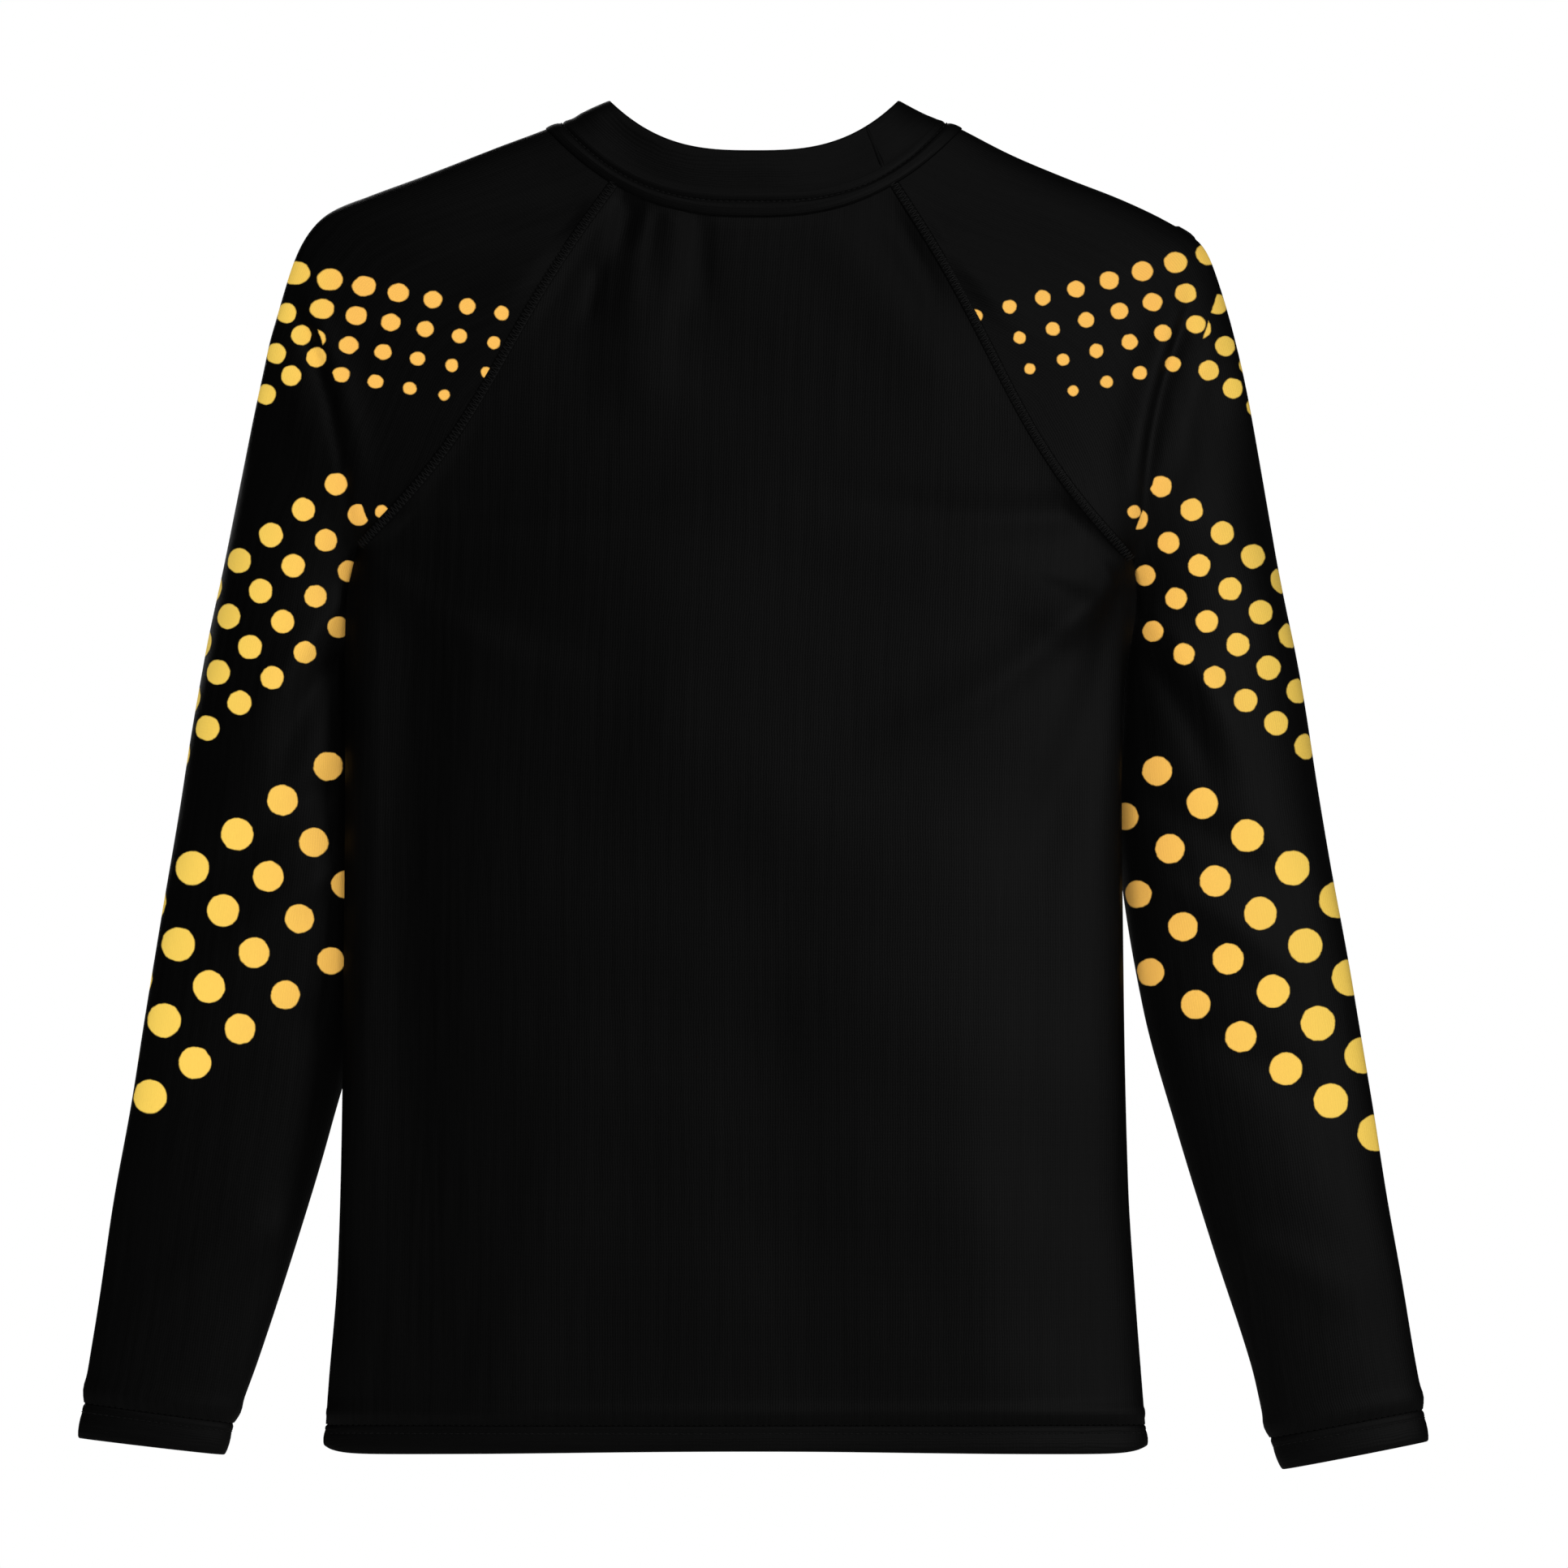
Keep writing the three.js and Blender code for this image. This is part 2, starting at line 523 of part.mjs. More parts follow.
add("collar_band", skin(neckRing([1, collarGap], [1, 1], 3), FOLDED, {
  ring: true, lift: (FOLDED - FABRIC) / 2, away: neckInside,
}), "knit");

const collarOut = (FOLDED - FABRIC) / 2 + GAP + STITCH_HEIGHT;
const bindingOut = (BINDING_THICK - FABRIC) / 2 + GAP + STITCH_HEIGHT;
add("neck_stitch", skin(neckRing([2 * seamGap, 0], [0.3, 0], 1), STITCH_HEIGHT, {
  ring: true, lift: bindingOut, away: neckInside,
}), "thread");
// the collar's ends meet behind the right shoulder
const joinRows = steps(3).map((t) => [-0.5, 0.5].map((k) => {
  const half = mix(NECK_HALF - BINDING_WIDTH, COLLAR_TOP_HALF, t);
  const e = (mix(COLLAR_JOIN.seam, COLLAR_JOIN.top, t) + k * COLLAR_JOIN.width) / half;
  return neckPoint(Math.acos(-e), 1, mix(2 * collarGap, 1 - collarGap, t));
}));
add("collar_join_seam", skin(joinRows, STITCH_HEIGHT, { lift: collarOut, away: neckInside }), "thread");

// ---- Bottom hem: the panels' edge turned up, all the way round ----
function bodyRing(z) {
  return turns(2 * ACROSS).map((angle) => {
    const face = Math.sin(angle) >= 0 ? "back" : "front";
    const side = Math.cos(angle) >= 0 ? "left" : "right";
    const reach = Math.abs(sign[side] * edge(side, z) - centre(z));
    return onBody(centre(z) - Math.cos(angle) * reach, z, face);
  });
}
const hemRows = [HEM_TOP, -BODY_LENGTH].map(bodyRing);
add("bottom_hem", skin(hemRows, FOLDED, {
  ring: true, lift: (FOLDED - FABRIC) / 2, away: middle, level: true,
}), "knit");
const hemStitchRows = [HEM_TOP - 2 * GAP, HEM_TOP - 2 * GAP - STITCH_WIDTH].map(bodyRing);
add("bottom_hem_stitch", skin(hemStitchRows, STITCH_HEIGHT, {
  ring: true, lift: (FOLDED - FABRIC) / 2 + GAP + STITCH_HEIGHT, away: middle,
}), "thread");

// ---- Care label, sewn into the left side seam ----
const careZ = -(BODY_LENGTH - CARE_LABEL.above_hem);
const careIn = FABRIC + GAP + SEAM_ALLOWANCE + 2 * GAP + CARE_LABEL.width / 2 + 1;
const careX = -(sideSeam("left", careZ + CARE_LABEL.height / 2) - careIn);
const care = new THREE.BoxGeometry(CARE_LABEL.width, CARE_LABEL.thick, CARE_LABEL.height);
add("care_label", care.translate(careX, 0, careZ), "label");

export default top;
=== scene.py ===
"""Long-sleeved raglan cheer top in black stretch knit, seen from the wearer's back.

Shapes are worked out in millimetres in the part's own frame: +Z up, +Y to the wearer's front, and
the origin in the middle of the neck opening, level with the shoulders' neck points.
"""

import bpy
import numpy as np
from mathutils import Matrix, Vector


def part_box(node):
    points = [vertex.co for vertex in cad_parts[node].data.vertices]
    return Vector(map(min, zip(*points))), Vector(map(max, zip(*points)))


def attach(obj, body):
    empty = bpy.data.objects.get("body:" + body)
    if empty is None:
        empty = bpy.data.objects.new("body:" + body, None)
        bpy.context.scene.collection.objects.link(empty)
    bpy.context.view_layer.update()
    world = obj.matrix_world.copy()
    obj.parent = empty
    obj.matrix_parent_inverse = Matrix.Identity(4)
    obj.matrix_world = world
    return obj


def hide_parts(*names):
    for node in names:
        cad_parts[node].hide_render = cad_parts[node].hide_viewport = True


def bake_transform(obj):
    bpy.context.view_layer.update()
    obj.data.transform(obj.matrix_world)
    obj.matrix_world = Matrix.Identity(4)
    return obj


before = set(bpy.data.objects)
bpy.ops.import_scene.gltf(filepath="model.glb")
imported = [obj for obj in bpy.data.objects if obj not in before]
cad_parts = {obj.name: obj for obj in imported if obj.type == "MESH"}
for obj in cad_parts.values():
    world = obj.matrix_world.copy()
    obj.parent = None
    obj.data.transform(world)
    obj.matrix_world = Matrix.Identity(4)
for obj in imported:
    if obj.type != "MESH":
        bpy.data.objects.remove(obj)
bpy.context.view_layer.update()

MM = 0.001
SIDES = {"left": -1, "right": 1}
FACES = {"back": -1, "front": 1}

# ---- Sizes ----
CLOTH = 0.9  # one ply of knit
BODY_LENGTH = 679
BODY_DEPTH = 80
HEM = 16.5  # the hem and the cuffs are turned up by this much
ARMPIT_OUT = {"left": 203, "right": 194.5}  # from the neck's centre line
ARMPIT_DROP = {"left": 215, "right": 222}
TURN_OUT = {"left": 54, "right": 61}  # where the sleeve turns on its outer edge, outward of the armpit
TURN_DROP = 150
CENTRE_DRIFT = -10
PILLOW_BULGE = 16
ROUNDNESS = 2.2
SHOULDER_LINE = {
    "left": [(136, -12), (170, -25), (196, -34.5), (217.5, -43.5), (229, -55), (237, -72), (247.5, -110)],
    "right": [(133, -14), (160, -25.5), (189, -37), (213, -48.5), (229, -59), (237, -75), (247, -111)],
}
# How far the side seam lies outward of the armpit, by the share of the way down to the hem.
SIDE_OUT = {
    "left": [(0, 0), (0.06, 5.5), (0.25, 6), (0.6, 7.5), (0.8, 10), (0.92, 14.5), (1, 17)],
    "right": [(0, 0), (0.05, 1), (0.15, -5.5), (0.45, -5.5), (0.7, -3), (0.82, 0.5), (0.92, 4), (1, 7)],
}
DEPTH_SHARE = [(-12, 0.3), (0, 0.38), (26, 0.5), (50, 0.66), (100, 0.86), (200, 1), (450, 0.95), (700, 0.7)]

NECK_HALF = 105
NECK_DROP = {"back": 44.7, "front": 88}
NECK_POWER = {"back": 2.5, "front": 2.6}
RAGLAN_AT_NECK = {"back": 71, "front": 62}
# How far the back raglan seam bows below its chord, and a second number that, being negative, takes
# bow from its upper half and adds it to its lower half
RAGLAN_BOW = {("left", "back"): (4, -2.5), ("right", "back"): (4.5, -2.5)}
FRONT_BOW = (8.4, 0)  # the same for both front seams
BINDING = 8
COLLAR = 25
COLLAR_TOP_HALF = 73.5
COLLAR_LEAN = 0.8
COLLAR_JOIN = (67, 57)  # right of the middle, at the collar's seam and at its top

UNDERARM = {"left": 464.5, "right": 465}
ELBOW_AT = 0.37
# Sleeve sections by share of the way down the underarm: (share, inner edge outward of the armpit,
# width, rise of the outer edge, slant towards the bend line, half depth, forward of the middle)
SLEEVE = {
    "left": [
        (0, 0, 54, 17, 1, 22, 0), (0.02, -0.5, 58.5, 17, 0.8, 28, 14), (0.05, -1, 64, 17, 0.6, 32, 26),
        (0.09, -1, 70, 17, 0.33, 34, 32), (0.146, -2, 80, 17, 0, 35, 34), (0.325, -3, 94.5, 17.5, 0, 30, 31),
        (0.508, -1, 106.6, 19.6, 0, 23, 30), (0.64, 14, 101.3, 18.6, 0, 20, 30.5),
        (0.766, 31.5, 94.4, 17.4, 0, 17.5, 31), (0.891, 50.5, 84.6, 15.5, 0, 15, 31.5),
        (0.962, 62.5, 78.5, 11, 0, 13.5, 32), (1, 68, 76, 9, 0, 13, 32),
    ],
    "right": [
        (0, 0, 61, 17, 1, 22, 0), (0.02, 0, 65, 17, 0.8, 28, 14), (0.05, -2, 71.5, 17, 0.6, 32, 26),
        (0.08, -5, 79, 17, 0.38, 34, 32), (0.131, -9.5, 92.5, 17, 0, 35, 34), (0.312, -8, 104.5, 18, 0, 30, 31),
        (0.492, 5, 106, 19, 0, 23, 30), (0.624, 22, 99.7, 18.5, 0, 20, 30.5),
        (0.753, 40.5, 91.3, 17, 0, 17.5, 31), (0.882, 60, 82, 16, 0, 15, 31.5),
        (0.963, 69, 80, 15, 0, 13.5, 32), (1, 76, 75.7, 14.8, 0, 13, 32),
    ],
}
SPLIT_AT = 0.23  # the sleeve's two pieces meet here, between the shoulder's bend and the elbow's
ELBOW_BEND = 34  # length of the way along the sleeve at the elbow, which bend_at_elbow works out and does not use


# ---- Curves and surfaces ----
def through(points):
    """Cubic through (x, y) points in rising x, with slopes along neighbours' chords, flat outside."""
    x, y = np.array(points, float).T
    n = len(x)
    low, high = np.maximum(np.arange(n) - 1, 0), np.minimum(np.arange(n) + 1, n - 1)
    slope = (y[high] - y[low]) / (x[high] - x[low])

    def value(at):
        """The curve's height at any x."""
        at = np.clip(np.asarray(at, float), x[0], x[-1])
        k = np.clip(np.searchsorted(x, at, "right") - 1, 0, n - 2)
        h = x[k + 1] - x[k]
        t = (at - x[k]) / h
        rise = y[k] * (2 * t**3 - 3 * t**2 + 1) + y[k + 1] * (3 * t**2 - 2 * t**3)
        return rise + slope[k] * h * (t**3 - 2 * t**2 + t) + slope[k + 1] * h * (t**3 - t**2)

    return value


def mix(a, b, t):
    """The value a share t of the way from a to b."""
    return a + (b - a) * t


def smooth(t):
    """A share from 0 to 1 that starts and stops gently: 3 t squared less 2 t cubed."""
    t = np.clip(t, 0, 1)
    return t * t * (3 - 2 * t)


depth_share = through(DEPTH_SHARE)
side_out = {side: through(SIDE_OUT[side]) for side in SIDES}
turn = {side: (ARMPIT_OUT[side] + TURN_OUT[side], -TURN_DROP) for side in SIDES}


def shoulder_curve(side):
    """The shoulder line as x and z over its own length, from the neck point (0) to the turn (1)."""
    points = np.array([(NECK_HALF, 0), *SHOULDER_LINE[side], turn[side]], float)
    run = np.r_[0, np.cumsum(np.linalg.norm(np.diff(points, axis=0), axis=1))]
    run /= run[-1]
    return through(np.c_[run, points[:, 0]]), through(np.c_[run, points[:, 1]])


shoulder = {side: shoulder_curve(side) for side in SIDES}
shoulder_by_drop = {
    side: through([(0, NECK_HALF), *[(-z, x) for x, z in SHOULDER_LINE[side]], (TURN_DROP, turn[side][0])])
    for side in SIDES
}


def side_seam(side, z):
    """How far the side seam lies outward at height z: the armpit, plus side_out by the share down."""
    share = (-z - ARMPIT_DROP[side]) / (BODY_LENGTH - ARMPIT_DROP[side])
    return ARMPIT_OUT[side] + side_out[side](np.maximum(share, 0))


def edge(side, z):
    """Outline of the flattened shape at height z: the shoulder line, a swell in to the armpit, the side."""
    share = np.clip((-z - TURN_DROP) / (ARMPIT_DROP[side] - TURN_DROP), 0, 1)
    swell = mix(turn[side][0], ARMPIT_OUT[side], share)
    swell = swell + PILLOW_BULGE * np.sin(np.pi * share**1.1) ** 1.2
    low = np.where(-z >= ARMPIT_DROP[side], side_seam(side, z), swell)
    return np.where(-z < TURN_DROP, shoulder_by_drop[side](-z), low)


def centre(z):
    """Where the middle of the body lies at height z: it drifts by CENTRE_DRIFT over the upper chest."""
    return CENTRE_DRIFT * smooth((-z - 60) / 300)


def half_depth(x, z):
    """Half the body's depth at (x, z): BODY_DEPTH / 2 * share(z) * sqrt(1 - u ** ROUNDNESS)."""
    middle = centre(z)
    left = np.abs(-edge("left", z) - middle)
    right = np.abs(edge("right", z) - middle)
    u = np.clip(np.abs(x - middle) / np.where(x < middle, left, right), 0, 1)
    return BODY_DEPTH / 2 * depth_share(-z) * np.sqrt(1 - u**ROUNDNESS)


def on_body(x, z, face):
    """Points of the body at (x, z): y is half the depth, on the side of the face."""
    x, z = np.broadcast_arrays(x, z)
    return np.stack([x, FACES[face] * half_depth(x, z), z], -1).astype(float)


def neck_line(x, face):
    """Height of the neckline at x: the drop times one less the share outward to a power, downwards."""
    return -NECK_DROP[face] * (1 - np.abs(x / NECK_HALF) ** NECK_POWER[face])


def raglan(side, face, t):
    """(x outward, z) of the raglan seam from the neck (0) to the armpit (1), bowed below the chord."""
    x0 = RAGLAN_AT_NECK[face]
    once, twice = RAGLAN_BOW.get((side, face), FRONT_BOW)
    bow = once * np.sin(np.pi * t) + twice * np.sin(2 * np.pi * t)
    z = mix(neck_line(x0, face), -ARMPIT_DROP[side], t) - bow
    return mix(x0, ARMPIT_OUT[side], t) - bow, z


def normals(grid):
    """Unit normals of a grid of points, from its row and column differences."""
    normal = np.cross(np.gradient(grid, axis=0), np.gradient(grid, axis=1))
    return normal / np.maximum(np.linalg.norm(normal, axis=-1, keepdims=True), 1e-9)


def relax(grid, rounds, amount, ring_rows=None):
    """Each point moves towards the mean of its four neighbours, by amount, with the border held."""
    grid = grid.copy()
    for _ in range(rounds):
        mean = grid.copy()
        mean[1:-1, 1:-1] = (grid[:-2, 1:-1] + grid[2:, 1:-1] + grid[1:-1, :-2] + grid[1:-1, 2:]) / 4
        if ring_rows is not None:
            r = slice(ring_rows, -1)
            up, down = grid[ring_rows - 1 : -2, 0], grid[ring_rows + 1 :, 0]
            mean[r, 0] = (up + down + grid[r, 1] + grid[r, -2]) / 4
            mean[r, -1] = mean[r, 0]
        grid += (mean - grid) * amount
    return grid


def waves(a, b, seed, longest, count=7):
    """A sum of sine waves in random directions, none shorter than a third of longest, from -1 to 1."""
    rng = np.random.default_rng(seed)
    total = np.zeros(np.broadcast(a, b).shape)
    for _ in range(count):
        turn_, phase = rng.uniform(0, 2 * np.pi, 2)
        length = longest * rng.uniform(0.34, 1)
        total = total + np.sin(2 * np.pi * (a * np.cos(turn_) + b * np.sin(turn_)) / length + phase)
    return total / count


def fold(x, z, start, end, width, height, sharp=1.0, bow=0.0):
    """Height of a soft fold along the line from start to end: a rounded ridge that fades at both ends.
    Bow bends the line sideways in the middle, and sharp above 1 narrows the ridge at its start."""
    (x0, z0), (x1, z1) = start, end
    run = np.hypot(x1 - x0, z1 - z0)
    along = ((x - x0) * (x1 - x0) + (z - z0) * (z1 - z0)) / run**2
    off = ((x - x0) * (z1 - z0) - (z - z0) * (x1 - x0)) / run
    off = off - bow * np.sin(np.pi * np.clip(along, 0, 1))
    spread = width * mix(1 / sharp, 1, np.clip(along, 0, 1))
    fade = smooth((along + 0.15) / 0.3) * smooth((1.12 - along) / 0.6)
    return height * np.exp(-((off / spread) ** 2)) * fade


# ---- Meshes ----
def mesh_piece(name, points, faces, material, attributes=()):
    """A smooth mesh at the origin, from points in millimetres."""
    mesh = bpy.data.meshes.new(name)
    mesh.from_pydata(np.asarray(points) * MM, [], faces)
    mesh.polygons.foreach_set("use_smooth", np.ones(len(mesh.polygons), bool))
    for key, values in attributes:
        layer = mesh.attributes.new(key, "FLOAT_VECTOR", "POINT")
        layer.data.foreach_set("vector", np.asarray(values, np.float32).ravel())
    mesh.materials.append(material)
    mesh.update()
    piece = bpy.data.objects.new(name, mesh)
    bpy.context.scene.collection.objects.link(piece)
    return piece


def grid_faces(rows, columns, ring=False, loop=False):
    """Quads between neighbouring rows and columns, closed round the columns when ring is true, and
    from the last row to the first when loop is true."""
    i = np.arange(rows if loop else rows - 1)[:, None]
    j = np.arange(columns if ring else columns - 1)[None]
    below, beside = (i + 1) % rows * columns, (j + 1) % columns
    i = i * columns
    return np.stack([i + j, i + beside, below + beside, below + j], -1).reshape(-1, 4)


def solid(name, grid, material, loop=False):
    """A closed solid whose rows are loops of points round its section, one after another along it. The
    rows join up end to end when loop is true, and otherwise the first and last are closed flat."""
    rows, columns = grid.shape[:2]
    faces = grid_faces(rows, columns, ring=True, loop=loop).tolist()
    if not loop:
        faces += [list(range(columns))[::-1], list(range((rows - 1) * columns, rows * columns))]
    section = np.linalg.norm(np.roll(grid, -1, axis=1) - grid, axis=-1).cumsum(1)
    run = np.r_[0, np.linalg.norm(np.diff(grid.mean(1), axis=0), axis=-1).cumsum()]
    coordinates = np.stack([section, run[:, None] + 0 * section, 0 * section], -1)
    points = grid.reshape(-1, 3)
    if signed_volume(points, faces) < 0:
        faces = [f[::-1] for f in faces]
    return mesh_piece(name, points, faces, material, [("cloth", coordinates.reshape(-1, 3))])


def signed_volume(points, faces):
    """Positive when the faces of a closed mesh point outwards."""
    total = 0.0
    for corners in {len(f) for f in faces}:
        index = np.array([f for f in faces if len(f) == corners])
        for k in range(1, corners - 1):
            a, b, c = points[index[:, 0]], points[index[:, k]], points[index[:, k + 1]]
            total += (a * np.cross(b, c)).sum()
    return total


def cloth_coordinates(grid, middle):
    """Where each point lies on the flat cloth, in mm: across from the middle column, and along it."""
    step = np.linalg.norm(np.diff(grid, axis=1), axis=-1)
    across = np.concatenate([np.zeros((len(grid), 1)), np.cumsum(step, axis=1)], 1)
    across -= across[:, middle : middle + 1]
    down = np.linalg.norm(np.diff(grid[:, middle], axis=0), axis=-1)
    along = np.r_[0, np.cumsum(down)][:, None] + np.zeros_like(across)
    return np.stack([across, along, np.zeros_like(across)], -1)


def cloth_sheet(name, grid, material, middle, extra=(), outward=None, thick=CLOTH):
    """A sheet of cloth over a grid of points, whose thickness lies on its inner side."""
    rows, columns = grid.shape[:2]
    ring = np.allclose(grid[:, 0], grid[:, -1], atol=1e-6)
    used = columns - 1 if ring else columns
    faces = grid_faces(rows, used, ring)
    flip = ((normals(grid) * outward(grid)).sum(-1)).mean() < 0
    attributes = [("cloth", cloth_coordinates(grid, middle)), *extra]
    piece = mesh_piece(
        name,
        grid[:, :used].reshape(-1, 3),
        (faces[:, ::-1] if not flip else faces).tolist(),
        material,
        [(key, values[:, :used].reshape(-1, 3)) for key, values in attributes],
    )
    mark_rim_sharp(piece.data)
    wall = piece.modifiers.new("thickness", "SOLIDIFY")
    wall.thickness = thick * MM
    wall.offset = -1
    return piece


def mark_rim_sharp(mesh):
    """Edges that only one face uses are sharp, so that the cloth's cut edge doesn't shade into its face."""
    edge_of = np.empty(len(mesh.loops), np.int32)
    mesh.loops.foreach_get("edge_index", edge_of)
    rim = np.bincount(edge_of, minlength=len(mesh.edges)) == 1
    sharp = mesh.attributes.get("sharp_edge") or mesh.attributes.new("sharp_edge", "BOOLEAN", "EDGE")
    sharp.data.foreach_set("value", rim)


# ---- Materials ----
MATHS = "ShaderNodeMath"


def linear(hex_colour):
    """An sRGB hex colour as linear red, green, blue and alpha."""
    srgb = np.array([int(hex_colour[i : i + 2], 16) for i in (1, 3, 5)]) / 255
    rgb = np.where(srgb <= 0.04045, srgb / 12.92, ((srgb + 0.055) / 1.055) ** 2.4)
    return (*rgb, 1.0)


def node(tree, kind, *inputs, **settings):
    """Adds a node, with its settings. Its inputs are one dictionary by name, or come in their order, and
    each is a value, a socket to link, or a node whose first output is linked."""
    made = tree.nodes.new(kind)
    for key, value in settings.items():
        setattr(made, key, value)
    named = inputs[0] if inputs and isinstance(inputs[0], dict) else dict(enumerate(inputs))
    for key, value in named.items():
        if isinstance(value, bpy.types.Node):
            value = value.outputs[0]
        if isinstance(value, bpy.types.NodeSocket):
            tree.links.new(value, made.inputs[key])
        else:
            made.inputs[key].default_value = value
    return made


def new_material(name):
    """A material with its node tree and its shader."""
    material = bpy.data.materials.new(name)
    material.use_nodes = True
    return material, material.node_tree, material.node_tree.nodes["Principled BSDF"]


# Brushed polyester-elastane jersey: a matt black face whose fine upright wales catch a little light.
WALE = 1.3  # a real wale is 0.6 mm, too fine to show
COURSE = 1.7
COURSE_HEIGHT = 0.35  # of a wale's
WALE_WANDER = 2.0  # mm


def knit_height(tree):
    """Height of the knit's loops: upright wales, crossed by weaker courses, both a little uneven."""
    cloth = node(tree, "ShaderNodeAttribute", attribute_name="cloth").outputs["Vector"]
    uneven = node(tree, "ShaderNodeTexNoise", {"Vector": cloth, "Scale": 0.06, "Detail": 3.0}).outputs["Fac"]
    split = node(tree, "ShaderNodeSeparateXYZ", {"Vector": cloth}).outputs
    wander = node(tree, MATHS, uneven, WALE_WANDER, operation="MULTIPLY")
    across = node(tree, MATHS, split["X"], wander, operation="ADD")
    wale_turns = node(tree, MATHS, across, 2 * np.pi / WALE, operation="MULTIPLY")
    course_turns = node(tree, MATHS, split["Y"], 2 * np.pi / COURSE, operation="MULTIPLY")
    wale = node(tree, MATHS, wale_turns, operation="SINE")
    course = node(tree, MATHS, course_turns, operation="SINE")
    weaker = node(tree, MATHS, course, COURSE_HEIGHT, operation="MULTIPLY")
    return node(tree, MATHS, wale, weaker, operation="ADD"), cloth


def knit_material(name, dark, light):
    """Plain jersey: uneven black with the knit's loops raised on it."""
    material, tree, shader = new_material(name)
    height, cloth = knit_height(tree)
    tree.links.new(colour_socket(tree, cloth, dark, light), shader.inputs["Base Color"])
    finish_knit(tree, shader, height)
    return material


def colour_socket(tree, cloth, dark, light):
    """Long faint streaks down the cloth, between its dark and its light black."""
    stretched = node(tree, "ShaderNodeMapping", {"Vector": cloth, "Scale": (0.35, 0.012, 1.0)})
    streak = node(tree, "ShaderNodeTexNoise", {"Vector": stretched.outputs[0], "Scale": 1.0, "Detail": 4.0})
    share = node(tree, "ShaderNodeMapRange", {"Value": streak.outputs["Fac"], "From Min": 0.3, "From Max": 0.7})
    both = node(tree, "ShaderNodeMixRGB", {
        "Fac": share.outputs[0], "Color1": linear(dark), "Color2": linear(light),
    })
    return both.outputs[0]


def finish_knit(tree, shader, height):
    """The loops' height as bump, and the matt face of brushed jersey."""
    bump = node(tree, "ShaderNodeBump", {"Height": height, "Strength": 0.16, "Distance": 0.0002})
    tree.links.new(bump.outputs[0], shader.inputs["Normal"])
    shader.inputs["Roughness"].default_value = 0.62
    shader.inputs["Specular IOR Level"].default_value = 0.05


body_knit = knit_material("polyester-elastane jersey, black", "#020202", "#040404")


def thread_material(name, dark, light, shine):
    """Textured polyester sewing thread: a little glossier than the jersey, with the twist of its plies
    across it."""
    material, tree, shader = new_material(name)
    place = node(tree, "ShaderNodeTexCoord").outputs["Object"]
    twist = node(tree, "ShaderNodeTexWave", {"Vector": place, "Scale": 700.0, "Distortion": 2.0})
    ply = node(tree, "ShaderNodeTexNoise", {"Vector": place, "Scale": 900.0, "Detail": 2.0})
    shade = node(tree, "ShaderNodeMixRGB", {
        "Fac": ply.outputs["Fac"], "Color1": linear(dark), "Color2": linear(light),
    })
    bump = node(tree, "ShaderNodeBump", {"Height": twist.outputs["Fac"], "Strength": 0.4, "Distance": 0.0001})
    tree.links.new(shade.outputs[0], shader.inputs["Base Color"])
    tree.links.new(bump.outputs[0], shader.inputs["Normal"])
    shader.inputs["Roughness"].default_value = 0.5
    shader.inputs["Specular IOR Level"].default_value = shine
    return material


def label_material():
    """Woven satin label: off-white, with fine ribs across it."""
    material, tree, shader = new_material("woven satin label, off-white")
    place = node(tree, "ShaderNodeTexCoord").outputs["Object"]
    rib = node(tree, "ShaderNodeTexWave", {"Vector": place, "Scale": 260.0}, bands_direction="Z")
    shade = node(tree, "ShaderNodeMixRGB", {
        "Fac": rib.outputs["Fac"], "Color1": linear("#d9d7d1"), "Color2": linear("#ecebe6"),
    })
    bump = node(tree, "ShaderNodeBump", {"Height": rib.outputs["Fac"], "Strength": 0.3, "Distance": 0.0001})
    tree.links.new(shade.outputs[0], shader.inputs["Base Color"])
    tree.links.new(bump.outputs[0], shader.inputs["Normal"])
    shader.inputs["Roughness"].default_value = 0.4
    return material


thread = thread_material("needle thread, textured polyester, black", "#050505", "#0c0c0c", 0.06)
cover_thread = thread_material("cover thread, textured polyester, black", "#060606", "#0f0f0f", 0.06)
satin = label_material()

# ---- Camera, light and floor ----
VIEW_WIDTH = 801.8
VIEW_CENTRE = (15.4, -335.3)
CAMERA_AWAY = 12000
SENSOR = 36.0
FLOOR_DROP = 860
ROOM = 0.42  # the room's own soft light, beside the lamps
ROOM_SHINE = 0.06  # and how bright it is where the black cloth shines


def camera():
    """A long lens level with the middle of the top, which keeps its outline nearly free of perspective."""
    data = bpy.data.cameras.new("camera")
    data.sensor_width = SENSOR
    data.lens = SENSOR * CAMERA_AWAY / VIEW_WIDTH
    data.clip_end = 100
    made = bpy.data.objects.new("camera", data)
    made.location = (VIEW_CENTRE[0] * MM, -CAMERA_AWAY * MM, VIEW_CENTRE[1] * MM)
    made.rotation_euler = (np.pi / 2, 0, 0)
    bpy.context.scene.collection.objects.link(made)
    bpy.context.scene.camera = made


def area_light(name, place, target, size, power):
    """A square lamp at place, in metres, turned to its target."""
    data = bpy.data.lights.new(name, "AREA")
    data.shape = "SQUARE"
    data.size = size
    data.energy = power
    made = bpy.data.objects.new(name, data)
    made.visible_camera = False
    made.location = place
    direction = Vector(target) - Vector(place)
    made.rotation_euler = direction.to_track_quat("-Z", "Y").to_euler()
    bpy.context.scene.collection.objects.link(made)
    return made


